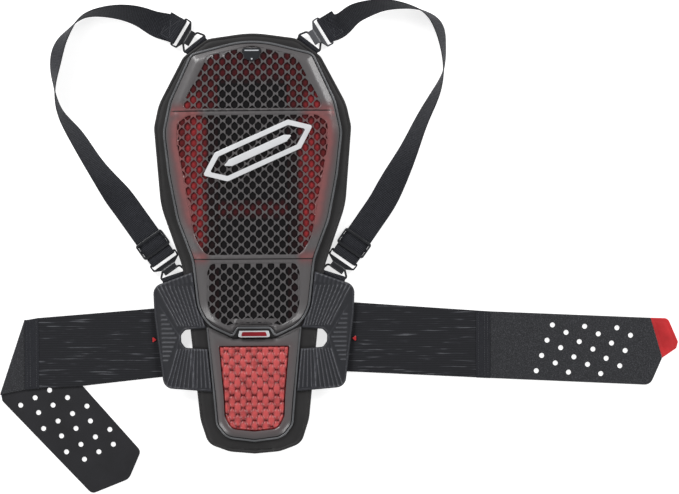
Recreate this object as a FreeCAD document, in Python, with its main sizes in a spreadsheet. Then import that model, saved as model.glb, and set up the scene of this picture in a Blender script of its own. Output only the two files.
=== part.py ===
"""Motorcycle back protector with shoulder straps and a kidney belt, lying flat.

+X runs across the spine towards the long closure belt, +Y towards the neck and +Z away
from the wearer.  The hard shell faces up and the edge of the foam rests on z = 0.
"""
import FreeCAD, Part
import math
import os
import Sketcher
from FreeCAD import Placement, Rotation, Vector

doc = FreeCAD.newDocument("back_protector")
sizes = doc.addObject("Spreadsheet::Sheet", "Sizes")

DIMENSIONS = {
    # arch of the inner face over the wearer's back
    "arch_radius": 1200.0,
    "arch_rise": 8.0,
    # heights of the stacked layers above the curved inner face
    "lining_thick": 2.5,
    "foam_thick": 9.0,
    "core_top": 14.6,
    "cavity_top": 15.0,
    "window_floor": 16.5,
    "shell_top": 17.5,
    "bead_top": 14.0,
    "lip_low": 14.6,
    "tail_core_top": 11.5,
    "tail_cavity_top": 11.9,
    "tail_shell_top": 14.0,
    "tail_bead_top": 12.5,
    "emblem_top": 18.3,
    "tag_top": 17.9,
    "badge_top": 17.8,
    "badge_face_top": 18.4,
    # how far outlines step inwards
    "lining_inset": 9.0,
    "bead_width": 4.0,
    "shell_inset": 4.2,
    "cavity_inset": 8.0,
    "core_inset": 8.4,
    "gap": 0.3,
    # lines that divide the bodies
    "flex_line": -118.0,
    "lap_line": -100.0,
    "spine_core_half": 48.0,
    # waist wings
    "wing_thick": 3.5,
    "wing_root_low": 9.3,
    "wing_root_top": 12.8,
    "wing_join": 13.9,
    "wing_slope": 0.2,
    # webbing and belts
    "webbing_width": 38.0,
    "webbing_thick": 1.6,
    "belt_thick": 2.2,
    "tail_thick": 2.0,
    "band_thick": 2.6,
    "hole_radius": 3.5,
    # buckles
    "ring_low": 5.6,
    "ring_wire": 3.0,
    "hook_low": 4.0,
    "hook_thick": 3.0,
    "nose_low": 9.0,
    "nose_thick": 2.0,
    "lip_reach": 3.8,
    "strap_height": 5.5,
    "adjuster_length": 25.0,
    "adjuster_width": 44.0,
    "rail_width": 2.5,
    "bar_thick": 2.0,
    "bar_clear": 0.4,
}

for row, (alias, value) in enumerate(DIMENSIONS.items(), start=1):
    sizes.set(f"A{row}", str(value))
    sizes.setAlias(f"A{row}", alias)
doc.recompute()

D = {alias: float(sizes.get(alias)) for alias in DIMENSIONS}
GAP = D["gap"]
UP = Vector(0, 0, 1)
LEFT, RIGHT = -1, 1
SIDE_NAME = {LEFT: "left", RIGHT: "right"}
# Room around the back plate, for the solids that cut it.
UNDER, TALL = -10.0, 60.0
HALF_ROOM, TAIL_ROOM, NECK_ROOM = 165.0, -310.0, 330.0

nodes = []


# ---------------------------------------------------------------- small tools

def node(label, thing):
    """Name an object that is one separate piece of the protector."""
    thing.Label = label
    nodes.append(thing)
    return thing


def rounded(corners):
    """Edges of a closed outline through (x, y, radius) corners."""
    spots = [Vector(x, y, 0) for x, y, radius in corners]
    runs = []
    for index, (x, y, radius) in enumerate(corners):
        here = spots[index]
        if not radius:
            runs.append((here, None, here))
            continue
        behind = (spots[index - 1] - here).normalize()
        ahead = (spots[(index + 1) % len(spots)] - here).normalize()
        half = behind.getAngle(ahead) / 2
        reach = radius / math.tan(half)
        depth = radius / math.sin(half) - radius
        middle = here + (behind + ahead).normalize() * depth
        runs.append((here + behind * reach, middle, here + ahead * reach))
    edges = []
    for index, (first, middle, last) in enumerate(runs):
        if middle:
            clockwise = (middle - first).cross(last - middle).z < 0
            ends = (last, first) if clockwise else (first, last)
            edges.append(Part.Arc(ends[0], middle, ends[1]))
        start = runs[(index + 1) % len(runs)][0]
        if last.distanceToPoint(start) > 1e-4:
            edges.append(Part.LineSegment(last, start))
    return edges


def mirrored(half):
    """Whole outline from its right half, listed from the neck end to the tail end."""
    return half + [(-x, y, radius) for x, y, radius in reversed(half) if x]


def flip(corners, side):
    """The corners as they are on the right, or mirrored for the left."""
    return [(side * x, y, radius) for x, y, radius in corners]


def draw(sketch, edges):
    """Add a closed chain of edges to a sketch and tie each edge to the next."""
    first = sketch.GeometryCount
    sketch.addGeometry(edges, False)
    drawn = sketch.Geometry[first:]
    for index, here in enumerate(drawn):
        after = (index + 1) % len(drawn)
        ends_here = ((1, here.StartPoint), (2, here.EndPoint))
        ends_after = ((1, drawn[after].StartPoint), (2, drawn[after].EndPoint))
        for end, point in ends_here:
            for other_end, other in ends_after:
                if point.distanceToPoint(other) < 1e-4:
                    sketch.addConstraint(Sketcher.Constraint(
                        "Coincident", first + index, end, first + after, other_end))
    return sketch


def outline(name, corners):
    """A flat sketch of a closed outline."""
    return draw(doc.addObject("Sketcher::SketchObject", name), rounded(corners))


def stepped_in(name, source, cell):
    """An outline moved inwards by a cell's value."""
    ring = doc.addObject("Part::Offset2D", name)
    ring.Source = source
    ring.setExpression("Value", f"-Sizes.{cell}")
    return ring


def prism(name, source, low=UNDER):
    """A tall upright prism on an outline."""
    tall = doc.addObject("Part::Extrusion", name)
    tall.Base = source
    tall.DirMode = "Custom"
    tall.Dir = UP
    tall.LengthFwd = TALL
    tall.LengthRev = -low
    tall.Solid = True
    return tall


def common(name, *things):
    both = doc.addObject("Part::MultiCommon", name)
    both.Shapes = list(things)
    return both


def fuse(name, *things):
    joined = doc.addObject("Part::MultiFuse", name)
    joined.Shapes = list(things)
    return joined


def cut(name, base, tool):
    rest = doc.addObject("Part::Cut", name)
    rest.Base = base
    rest.Tool = tool
    return rest


def block(name, low, high):
    """A box between two corners."""
    box = doc.addObject("Part::Box", name)
    box.Length, box.Width, box.Height = (b - a for a, b in zip(low, high))
    box.Placement.Base = Vector(*low)
    return box


def band(name, low, high):
    """Everything between two places along the back."""
    return block(name, (-HALF_ROOM, low, UNDER), (HALF_ROOM, high, TALL))


def level_sketch(body, name, corners, low):
    """A sketch of corners in a body, at the height that an expression gives."""
    sketch = body.newObject("Sketcher::SketchObject", name)
    plane = [p for p in body.Origin.OriginFeatures if p.Role == "XY_Plane"][0]
    sketch.AttachmentSupport = [(plane, "")]
    sketch.MapMode = "FlatFace"
    sketch.setExpression("AttachmentOffset.Base.z", low)
    return draw(sketch, rounded(corners))


def pad(name, corners, low, thick, holes=()):
    """A PartDesign plate: corners in the XY plane, low and thick are expressions."""
    body = doc.addObject("PartDesign::Body", name)
    sketch = level_sketch(body, f"{name}_outline", corners, low)
    for x, y in holes:
        circle = sketch.addGeometry(Part.Circle(Vector(x, y, 0), UP, D["hole_radius"]))
        radius = sketch.addConstraint(Sketcher.Constraint("Radius", circle, D["hole_radius"]))
        sketch.setExpression(f"Constraints[{radius}]", "Sizes.hole_radius")
    slab = body.newObject("PartDesign::Pad", f"{name}_pad")
    slab.Profile = sketch
    slab.setExpression("Length", thick)
    return body


# ---------------------------------------------------------------- curved layers

def arc_across(height):
    """Arc over the back, this far outside the curved inner face."""
    radius = D["arch_radius"] + height
    lift = D["arch_rise"] - D["arch_radius"]
    points = []
    for x in (-HALF_ROOM, 0, HALF_ROOM):
        points.append(Vector(x, TAIL_ROOM, lift + math.sqrt(radius ** 2 - x ** 2)))
    return Part.Arc(*points)


def layer(name, low, high):
    """Curved slab between two heights above the inner face."""
    under, over = arc_across(low), arc_across(high)
    sides = [Part.LineSegment(under.EndPoint, over.EndPoint),
             Part.LineSegment(over.StartPoint, under.StartPoint)]
    edges = [curve.toShape() for curve in (under, sides[0], over, sides[1])]
    slab = doc.addObject("Part::Feature", name)
    face = Part.Face(Part.Wire(Part.__sortEdges__(edges)))
    slab.Shape = face.extrude(Vector(0, NECK_ROOM - TAIL_ROOM, 0))
    return slab


# Right halves of the symmetric outlines: (x, y, corner radius).
FOAM = mirrored([(0, 303.5, 0), (62, 295, 25), (96, 270, 16), (131, 204, 70), (138, 172, 30),
                 (129, 62, 120), (98, -26, 160), (87.5, -123, 0), (76, -236, 60),
                 (65, -270, 20), (35, -281, 40), (0, -284, 0)])
SHELL = mirrored([(0, 296.5, 0), (86, 275, 14), (117, 208, 60), (126, 165, 50), (119, 104, 150),
                  (107, 42, 90), (86, -14, 60), (79, -78, 50), (67, -104, 24), (29, -122, 6),
                  (21.5, -110, 2)])
TAIL_PLATE = mirrored([(38.7, -118.3, 0), (67.2, -104.8, 1.5), (57.5, -208, 0),
                       (54.5, -244, 18), (40, -263, 24), (0, -268, 0)])
WINDOWS = {
    "upper": mirrored([(0, 285.5, 40), (62, 272, 8), (99, 203, 6), (93, 196, 5)]),
    "middle": mirrored([(90, 189.5, 12), (106, 178, 12), (106.5, 149, 50), (82, 15, 60),
                        (66, -8, 14)]),
    "lower": mirrored([(60, -17.5, 8), (65.5, -30, 12), (65, -76, 20), (58, -95, 12),
                       (38, -106, 10)]),
}
TAIL_WINDOW = mirrored([(51, -132, 0), (44.5, -205, 0), (43.5, -232, 14), (34, -251, 16),
                        (0, -254.5, 0)])
TAG = mirrored([(13.5, 281, 3), (10.5, 267, 3), (0, 262, 6)])
EMBLEM_MIDDLE, EMBLEM_TILT = (7.5, 138.5), 24.0
EMBLEM_OUTER = [(-84, 0, 3), (-56, 22, 4), (56, 22, 4), (84, 0, 3), (56, -22, 4), (-56, -22, 4)]
EMBLEM_INNER = [(-73, 0, 2), (-53, 15, 3), (53, 15, 3), (73, 0, 2), (53, -15, 3), (-53, -15, 3)]
EMBLEM_BAR = [(-52, 0, 1), (-42, 5, 1), (42, 5, 1), (52, 0, 1), (42, -5, 1), (-42, -5, 1)]
BADGE = [(-20, -112.3, 1), (20.5, -112.3, 1), (23.5, -121.5, 3), (-22.5, -121.5, 3)]
BADGE_FACE = [(-16, -114, 1), (16.5, -114, 1), (18.5, -119.8, 1), (-17.5, -119.8, 1)]

# Each set turns about +Z from the right-hand side: ring bar centre, hook slot centre.
UPPER_RING, UPPER_RING_TURN = (78.6, 286.8), 52.0
LOWER_RING, LOWER_RING_TURN = (111.3, -36.4), 72.0
UPPER_HOOK, UPPER_HOOK_TURN = (99.4, 304.1), 31.0
LOWER_HOOK, LOWER_HOOK_TURN = (125.2, -13.6), 55.0
ADJUSTER_OFF_HOOK = 27.0
RING_OUTER = [(-1.5, -22.5, 4), (-1.5, 22.5, 4), (14.5, 5.5, 5), (14.5, -5.5, 5)]
RING_INNER = [(1.5, -17.5, 2), (1.5, 17.5, 2), (11, 4.5, 2), (11, -4.5, 2)]
HOOK_PLATE = [(5.5, -22, 3), (5.5, 22, 3), (-4, 22, 3), (-10.5, 8, 4), (-10.5, -8, 4),
              (-4, -22, 3)]
# Room in the edge of the foam for the lower ring, which turns with the wing, and the hook.
RING_SEAT = [(-4, -25, 3), (2, -25, 3), (18, -8, 5), (18, 8, 5), (2, 26, 4), (-4, 26, 4)]
HOOK_SEAT = [(-7, 14, 2), (8.5, 14, 2), (8.5, 25, 2), (-7, 25, 2)]
HOOK_RISER, HOOK_NOSE, HOOK_LIP = (-10.5, -7.5, 4), (-21.7, -7.5, 4), (-21.7, -18.9, 3)
HOOK_SLOT = [(2, -19.5, 1), (2, 19.5, 1), (-2, 19.5, 1), (-2, -19.5, 1)]


def swing(place, turn, side):
    """Placement of a buckle whose own +X points from the spine along the strap."""
    angle = turn if side == RIGHT else 180 - turn
    return Placement(Vector(side * place[0], place[1], 0), Rotation(UP, angle))


def flip_across(corners, side):
    """Buckle corners whose own +Y side faces the spine on the right, and so on the left."""
    return [(x, side * y, radius) for x, y, radius in corners]


foam_plan = outline("foam_plan", FOAM)
shell_plan = outline("shell_plan", SHELL)
tail_plan = outline("tail_plan", TAIL_PLATE)
above_flex = band("above_flex", D["flex_line"] + GAP / 2, NECK_ROOM)
below_flex = band("below_flex", TAIL_ROOM, D["flex_line"] - GAP / 2)

# Foam and its lining, each in two parts that meet at the flex line.
foam_prism = prism("foam_prism", foam_plan)
lining_prism = prism("lining_prism", stepped_in("lining_plan", foam_plan, "lining_inset"))
lining = common("lining", lining_prism, layer("lining_layer", 0, D["lining_thick"]))
foam_slab = common("foam_slab", foam_prism, layer("foam_layer", 0, D["foam_thick"]))
seats = []
for side in (LEFT, RIGHT):
    for part, corners, place, turn in (("ring", RING_SEAT, LOWER_RING, LOWER_RING_TURN),
                                       ("hook", HOOK_SEAT, LOWER_HOOK, LOWER_HOOK_TURN)):
        seat = prism(f"{SIDE_NAME[side]}_{part}_seat", outline(
            f"{SIDE_NAME[side]}_{part}_seat_plan", flip_across(corners, side)))
        seat.Placement = swing(place, turn, side)
        seats.append(seat)
foam = cut("foam", cut("foam_whole", foam_slab, lining), fuse("buckle_seats", *seats))
node("base_foam", common("foam_upper", foam, above_flex))
node("coccyx_foam", common("foam_lower", foam, below_flex))
node("comfort_liner", common("lining_upper", lining, above_flex))
node("coccyx_liner", common("lining_lower", lining, below_flex))

# Main shell: a lid with three sunken windows, edged by a bead, over two impact cores.
lip_space = common("lip_space", band("below_lip", TAIL_ROOM, D["flex_line"] + GAP),
                   layer("lip_layer", 5, D["lip_low"]))
shell_prism = prism("shell_prism", stepped_in("shell_edge", shell_plan, "shell_inset"))
cavity_prism = prism("cavity_prism", stepped_in("cavity_edge", shell_plan, "cavity_inset"))
cavity = common("cavity", cavity_prism, layer("cavity_layer", 8, D["cavity_top"]))
shell_slab = common("shell_slab", shell_prism,
                    layer("shell_layer", D["foam_thick"], D["shell_top"]))
windows = fuse("windows", *[prism(f"{name}_window", outline(f"{name}_window_plan", corners))
                            for name, corners in WINDOWS.items()])
window_space = common("window_space", windows,
                      layer("window_layer", D["window_floor"], D["shell_top"] + 3))
shell_lid = cut("shell_lid", shell_slab, cavity)
shell_open = cut("shell_open", shell_lid, window_space)
node("main_shell", cut("main_shell_solid", shell_open, lip_space))

bead_ring = cut("bead_ring", prism("bead_outside", shell_plan),
                prism("bead_inside", stepped_in("bead_edge", shell_plan, "bead_width")))
# The bead is as tall as the shell where it laps over the coccyx plate.
lap_end = band("lap_end", TAIL_ROOM, D["lap_line"])
tall_bead = common("tall_bead", bead_ring, lap_end,
                   layer("tall_bead_layer", D["foam_thick"], D["shell_top"]))
low_bead_ring = common("low_bead_ring", bead_ring,
                       layer("low_bead_layer", D["foam_thick"], D["bead_top"]))
low_bead = cut("low_bead", low_bead_ring, lap_end)
node("shell_bead", cut("shell_bead_solid", fuse("bead_whole", tall_bead, low_bead), lip_space))

core_prism = prism("core_prism", stepped_in("core_edge", shell_plan, "core_inset"))
core_slab = common("core_slab", core_prism, layer("core_layer", D["foam_thick"], D["core_top"]))
core = common("core", core_slab, above_flex)
half = D["spine_core_half"]
spine_strip = block("spine_strip", (-half, TAIL_ROOM, UNDER), (half, NECK_ROOM, TALL))
spine_space = block("spine_space", (-half - GAP, TAIL_ROOM, UNDER),
                    (half + GAP, NECK_ROOM, TALL))
node("spine_core", common("spine_core_solid", core, spine_strip))
node("thorax_core", cut("thorax_core_solid", core, spine_space))

# Coccyx plate under the lip of the main shell.
tail_shell_prism = prism("tail_shell_prism", stepped_in("tail_shell_edge", tail_plan,
                                                        "shell_inset"))
tail_cavity = common("tail_cavity", prism("tail_cavity_prism", stepped_in(
    "tail_cavity_edge", tail_plan, "cavity_inset")), layer("tail_cavity_layer", 8,
                                                           D["tail_cavity_top"]))
tail_slab = common("tail_slab", tail_shell_prism,
                   layer("tail_layer", D["foam_thick"], D["tail_shell_top"]))
tail_lid = cut("tail_lid", tail_slab, tail_cavity)
tail_window = common("tail_window", prism("tail_window_prism",
                                          outline("tail_window_plan", TAIL_WINDOW)),
                     layer("tail_window_layer", D["tail_shell_top"] - 1, D["tail_shell_top"] + 2))
node("coccyx_shell", cut("coccyx_shell_solid", tail_lid, tail_window))
node("coccyx_core", common("coccyx_core_solid", prism("tail_core_prism", stepped_in(
    "tail_core_edge", tail_plan, "core_inset")), layer("tail_core_layer", D["foam_thick"],
                                                       D["tail_core_top"])))
tail_ring = cut("tail_ring", prism("tail_outside", tail_plan), prism(
    "tail_inside", stepped_in("tail_bead_edge", tail_plan, "bead_width")))
node("coccyx_bead", common("coccyx_bead_solid", tail_ring, layer(
    "tail_bead_layer", D["foam_thick"], D["tail_bead_top"])))

# Trim on the shell.
node("size_tag", common("size_tag_solid", prism("tag_prism", outline("tag_plan", TAG)),
                        layer("tag_layer", D["window_floor"], D["tag_top"])))
outer, inner, bar = [prism(f"emblem_{name}", outline(f"emblem_{name}_plan", corners))
                     for name, corners in (("outer", EMBLEM_OUTER), ("inner", EMBLEM_INNER),
                                           ("bar", EMBLEM_BAR))]
emblem_prism = fuse("emblem_prism", cut("emblem_ring", outer, inner), bar)
emblem_prism.Placement = Placement(Vector(*EMBLEM_MIDDLE, 0), Rotation(UP, EMBLEM_TILT))
node("shell_emblem", common("emblem_solid", emblem_prism,
                            layer("emblem_layer", D["window_floor"], D["emblem_top"])))
node("badge_bezel", common("badge_solid", prism("badge_prism", outline("badge_plan", BADGE)),
                           layer("badge_layer", D["lip_low"], D["badge_top"])))
node("badge_insert", common("badge_face", prism("badge_face_prism",
                                                outline("badge_face_plan", BADGE_FACE)),
                            layer("badge_face_layer", D["badge_top"], D["badge_face_top"])))

# ---------------------------------------------------------------- waist wings

WING = [(60, -21, 0), (141, -50, 15), (139.5, -90, 150), (126.5, -192, 14), (50, -198, 0)]
WING_WINDOW = [(50, -107, 0), (96, -110.8, 5), (102, -118, 5), (101.5, -128, 5),
               (96, -135.5, 5), (50, -138.5, 0)]
HINGE_TOP, HINGE_END = (98.5, -31.0), (80.8, -203.0)
WING_PAD = [(110, -78, 3), (134.5, -80, 3), (128, -165, 3), (110, -163, 3)]


def hinge_x(y):
    """Where the wing bends, at a place along the back."""
    (x0, y0), (x1, y1) = HINGE_TOP, HINGE_END
    return x0 + (x1 - x0) * (y - y0) / (y1 - y0)


def beside_hinge(name, step, edge, side):
    """A tall region from the bend line, moved by a step, out to an edge."""
    top, low = 0.0, -230.0
    corners = [(hinge_x(top) + step, top, 0), (edge, top, 0), (edge, low, 0),
               (hinge_x(low) + step, low, 0)]
    return prism(name, outline(f"{name}_plan", flip(corners, side)))


def wing_slab(name, low, high, side):
    """The sloping slab of a wing beyond its bend, from one height to another."""
    start, end, slope = 70.0, 145.0, D["wing_slope"]
    root = D["wing_join"]
    profile = [(x, 0, root + rise - slope * (x - 90)) for x, rise in
               ((start, low), (end, low), (end, high), (start, high))]
    wire = Part.makePolygon([Vector(side * x, y, z) for x, y, z in profile + profile[:1]])
    slab = doc.addObject("Part::Feature", name)
    slab.Shape = Part.Face(wire).extrude(Vector(0, -240, 0))
    return slab


for side in (LEFT, RIGHT):
    hand = SIDE_NAME[side]
    wing_prism = prism(f"{hand}_wing_prism", outline(f"{hand}_wing_plan", flip(WING, side)))
    slot_prism = prism(f"{hand}_slot_prism", outline(f"{hand}_slot_plan", flip(WING_WINDOW, side)))
    wing_plan = cut(f"{hand}_wing_open", wing_prism, slot_prism)
    root_strip = common(f"{hand}_root_strip", wing_plan,
                        beside_hinge(f"{hand}_inboard", -GAP, 40.0, side),
                        layer(f"{hand}_root_layer", D["wing_root_low"], D["wing_root_top"]))
    root_upper = common(f"{hand}_root_upper", root_strip, above_flex)
    root_lower = common(f"{hand}_root_lower", root_strip, below_flex)
    shell_clear = doc.addObject("Part::Offset2D", f"{hand}_shell_clear")
    shell_clear.Source = shell_plan
    shell_clear.setExpression("Value", "Sizes.gap")
    tail_clear = doc.addObject("Part::Offset2D", f"{hand}_tail_clear")
    tail_clear.Source = tail_plan
    tail_clear.setExpression("Value", "Sizes.gap")
    plates = fuse(f"{hand}_plate_space", prism(f"{hand}_shell_space", shell_clear),
                  prism(f"{hand}_tail_space", tail_clear))
    node(f"{hand}_wing_upper_root", cut(f"{hand}_root_upper_solid", root_upper, plates))
    node(f"{hand}_wing_lower_root", cut(f"{hand}_root_lower_solid", root_lower, plates))
    node(f"{hand}_wing_panel", common(
        f"{hand}_wing_solid", wing_plan, beside_hinge(f"{hand}_outboard", GAP, 160.0, side),
        wing_slab(f"{hand}_wing_slab", 0, D["wing_thick"], side)))
    pad_prism = prism(f"{hand}_pad_prism", outline(f"{hand}_pad_plan", flip(WING_PAD, side)),
                      D["belt_thick"] + 0.5)
    node(f"{hand}_wing_fastening_pad", common(
        f"{hand}_pad_solid", pad_prism, wing_slab(f"{hand}_pad_slab", -9, 0, side)))


# ---------------------------------------------------------------- buckles and anchors

def ring(name):
    """Flat triangular ring: a long bar for the webbing and a short one for the hook."""
    body = pad(name, RING_OUTER, "Sizes.ring_low", "Sizes.ring_wire")
    doc.recompute()
    hole = body.newObject("PartDesign::Pocket", f"{name}_pocket")
    hole.Profile = level_sketch(body, f"{name}_window", RING_INNER, "Sizes.ring_low")
    hole.Reversed = True
    hole.setExpression("Length", "Sizes.ring_wire")
    return body


def hook(name):
    """Slotted plate with a nose that passes over the ring and a lip inside it."""
    plate = pad(f"{name}_plate", HOOK_PLATE, "Sizes.hook_low", "Sizes.hook_thick")
    slot = pad(f"{name}_slot", HOOK_SLOT, "Sizes.hook_low - 1", "Sizes.hook_thick + 2")
    slotted = cut(f"{name}_slotted", plate, slot)
    nose_low, nose_top = D["nose_low"], D["nose_low"] + D["nose_thick"]
    parts = [slotted]
    for part, (tip, heel, half), low, top in (
            ("riser", HOOK_RISER, D["hook_low"], nose_top),
            ("nose", HOOK_NOSE, nose_low, nose_top),
            ("lip", HOOK_LIP, nose_low - D["lip_reach"], nose_low + 1)):
        parts.append(block(f"{name}_{part}", (tip, -half, low), (heel, half, top)))
    return fuse(name, *parts)


def adjuster(name):
    """Three-bar slider: two bars over the webbing, one under it."""
    body = doc.addObject("Part::MultiFuse", name)
    long, wide, rail = (D[key] for key in ("adjuster_length", "adjuster_width", "rail_width"))
    over = D["strap_height"] + D["webbing_thick"] / 2 + D["bar_clear"]
    under = D["strap_height"] - D["webbing_thick"] / 2 - D["bar_clear"]
    bar = D["bar_thick"]
    parts = []
    for end in (LEFT, RIGHT):
        edge = end * wide / 2
        inner = edge - end * rail
        parts.append(block(f"{name}_rail{end + 1}", (-long / 2, min(edge, inner), under - bar),
                           (long / 2, max(edge, inner), over + bar)))
        near, far = sorted((end * long / 2, end * (long / 2 - 3.5)))
        parts.append(block(f"{name}_end{end + 1}", (near, -wide / 2, over),
                           (far, wide / 2, over + bar)))
    parts.append(block(f"{name}_middle", (-2.2, -wide / 2, under - bar), (2.2, wide / 2, under)))
    body.Shapes = parts
    return body


for side in (LEFT, RIGHT):
    hand = SIDE_NAME[side]
    for level, ring_place, ring_turn, hook_place, hook_turn in (
            ("upper", UPPER_RING, UPPER_RING_TURN, UPPER_HOOK, UPPER_HOOK_TURN),
            ("lower", LOWER_RING, LOWER_RING_TURN, LOWER_HOOK, LOWER_HOOK_TURN)):
        one_ring = node(f"{hand}_{level}_ring", ring(f"{hand}_{level}_ring_body"))
        one_ring.Placement = swing(ring_place, ring_turn, side)
        one_hook = node(f"{hand}_{level}_hook", hook(f"{hand}_{level}_hook_solid"))
        one_hook.Placement = swing(hook_place, hook_turn, side)
    slider = node(f"{hand}_adjuster", adjuster(f"{hand}_adjuster_solid"))
    slider.Placement = swing(LOWER_HOOK, LOWER_HOOK_TURN, side) * Placement(
        Vector(ADJUSTER_OFF_HOOK, 0, 0), Rotation())

    # Webbing anchors: the upper one runs under the foam, the lower one under the wing.
    half_web = D["webbing_width"] / 2
    upper_strip = block(f"{hand}_upper_strip", (-16, -half_web, 2.2), (-1.0, half_web, 3.8))
    upper_strip.Placement = swing(UPPER_RING, UPPER_RING_TURN, side) * upper_strip.Placement
    node(f"{hand}_upper_anchor", upper_strip)
    lower_strip = block(f"{hand}_lower_strip", (-16, -half_web, 0), (-2.6, half_web, TALL))
    lower_strip.Placement = swing(LOWER_RING, LOWER_RING_TURN, side) * lower_strip.Placement
    beyond_bend = beside_hinge(f"{hand}_beyond_bend", 2.0, 160.0, side)
    node(f"{hand}_lower_anchor", common(
        f"{hand}_lower_anchor_solid", lower_strip, beyond_bend,
        wing_slab(f"{hand}_anchor_slab", -1.8, -0.1, side)))

# ---------------------------------------------------------------- shoulder straps

# Middle of the webbing: (x, y, roll); roll 0 lies flat, 90 stands on its inner edge.
STRAP_PATH = {
    LEFT: [(-132, 316, 25), (-152, 325, 44), (-180, 332.5, 60),
           (-211, 333, 76), (-236, 326, 90), (-254, 308, 104), (-267, 289, 118),
           (-274, 262, 118), (-275, 230, 99), (-268, 196, 82), (-250, 167, 63),
           (-223, 124, 52), (-196, 86, 26)],
    RIGHT: [(121, 312, 28), (140, 326, 47), (161, 335, 58), (182, 340, 68),
            (202, 340, 78), (226, 336, 90), (246, 327, 102), (259, 313, 112), (266, 287, 106),
            (267, 250, 92), (257, 219, 74), (237, 180, 62), (218, 138, 48), (194, 91, 18)],
}
STRAP_FLOOR = 1.1
STRAP_STARTS, STRAP_STRAIGHT = 6.4, 86.8


def ribbon(name, side, stations=44):
    """Webbing of even thickness that rolls over as it follows its path."""
    half_web, half_thick = D["webbing_width"] / 2, D["webbing_thick"] / 2
    upper = swing(UPPER_HOOK, UPPER_HOOK_TURN, side)
    lower = swing(LOWER_HOOK, LOWER_HOOK_TURN, side)
    flat = [Vector(x, y, 0) for x, y, roll in STRAP_PATH[side]]
    flat = [upper.multVec(Vector(STRAP_STARTS, 0, 0))] + flat
    flat.append(lower.multVec(Vector(STRAP_STRAIGHT, 0, 0)))
    rolls = [0] + [roll for x, y, roll in STRAP_PATH[side]] + [0]
    lows = [D["strap_height"]] + [STRAP_FLOOR] * (len(flat) - 2) + [D["strap_height"]]
    ways = [0.0]
    for here, there in zip(flat, flat[1:]):
        ways.append(ways[-1] + here.distanceToPoint(there))
    line, twist = Part.BSplineCurve(), Part.BSplineCurve()
    line.interpolate(Points=flat, Parameters=ways,
                     InitialTangent=upper.Rotation.multVec(Vector(1, 0, 0)),
                     FinalTangent=lower.Rotation.multVec(Vector(-1, 0, 0)))
    twist.interpolate(Points=[Vector(*item) for item in zip(rolls, lows, ways)],
                      Parameters=ways)
    sections = []
    for step in range(stations + 1):
        way = ways[-1] * step / stations
        roll, low, _ = twist.value(way)
        angle = math.radians(roll)
        ahead = line.tangent(way)[0]
        across = ahead.cross(UP) * -side * math.cos(angle) + UP * math.sin(angle)
        through = ahead.cross(across)
        middle = line.value(way) + UP * (half_web * math.sin(angle) + low)
        corners = [middle + across * a * half_web + through * b * half_thick
                   for a, b in ((-1, -1), (1, -1), (1, 1), (-1, 1), (-1, -1))]
        sections.append(Part.makePolygon(corners))
    twisted = doc.addObject("Part::Feature", f"{name}_twisted")
    twisted.Shape = Part.makeLoft(sections, True, True)
    low = D["strap_height"] - half_thick
    straight = block(f"{name}_straight", (STRAP_STARTS, -half_web, low),
                     (STRAP_STRAIGHT, half_web, low + D["webbing_thick"]))
    straight.Placement = lower * straight.Placement
    return fuse(name, twisted, straight)


for side in (LEFT, RIGHT):
    hand = SIDE_NAME[side]
    node(f"{hand}_shoulder_strap", ribbon(f"{hand}_strap_ribbon", side))

# ---------------------------------------------------------------- kidney belts

LEFT_ELASTIC = [(-303, -92.8, 0), (-108, -78.3, 3), (-108, -174.5, 3), (-240, -188.2, 150),
                (-303, -191, 0)]
LEFT_BAND = [(-320, -95.5, 0), (-303, -92.8, 0), (-303, -191, 0), (-320, -192.3, 0)]
LEFT_ROOT = [(-320, -95.5, 0), (-320, -192.3, 0), (-354.7, -199, 2)]
LEFT_TAIL = [(-322.7, -103.5, 0), (-354.9, -200.5, 4), (-353.5, -208.5, 5), (-229, -339.5, 9),
             (-177, -319, 14), (-160, -280, 9), (-241, -188, 0)]
RIGHT_ELASTIC = [(108, -71.8, 3), (311.5, -87, 0), (311.5, -180.8, 0), (108, -169.8, 3)]
RIGHT_BAND = [(311.5, -87, 0), (328.6, -88.2, 0), (328.6, -181.8, 0), (311.5, -180.8, 0)]
RIGHT_TAIL = [(328.6, -88.2, 0), (554.5, -99.1, 0), (570.5, -155.5, 6), (553.5, -193.2, 12),
              (328.6, -181.8, 0)]
PULL_TAB = [(554.5, -99.1, 0), (579, -99.8, 8), (593, -133, 5), (590.5, -142, 3),
            (570.5, -155.5, 0)]
POINTER = [(136.5, -124.5, 0.5), (142.5, -120, 1), (142.5, -129, 1)]
CREASE = (Vector(-319.5, -95.5, 0), Vector(-354.7, -200.2, 0))


def hole_rows(first, along, across, odd):
    """Seven rows of three holes; each odd row is set over by the same step."""
    spots = []
    for row in range(7):
        for column in range(3):
            x, y = (first[i] + column * along[i] + (row // 2) * across[i] + (row % 2) * odd[i]
                    for i in (0, 1))
            spots.append((x, y))
    return spots


RIGHT_HOLES = hole_rows((417.3, -108.1), (45.1, -2.35), (-7.7, -21.3), (19, -10.6))
LEFT_HOLES = hole_rows((-327.8, -214.6), (31.8, -32.9), (20.3, 10.3), (25, -10.5))

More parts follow.
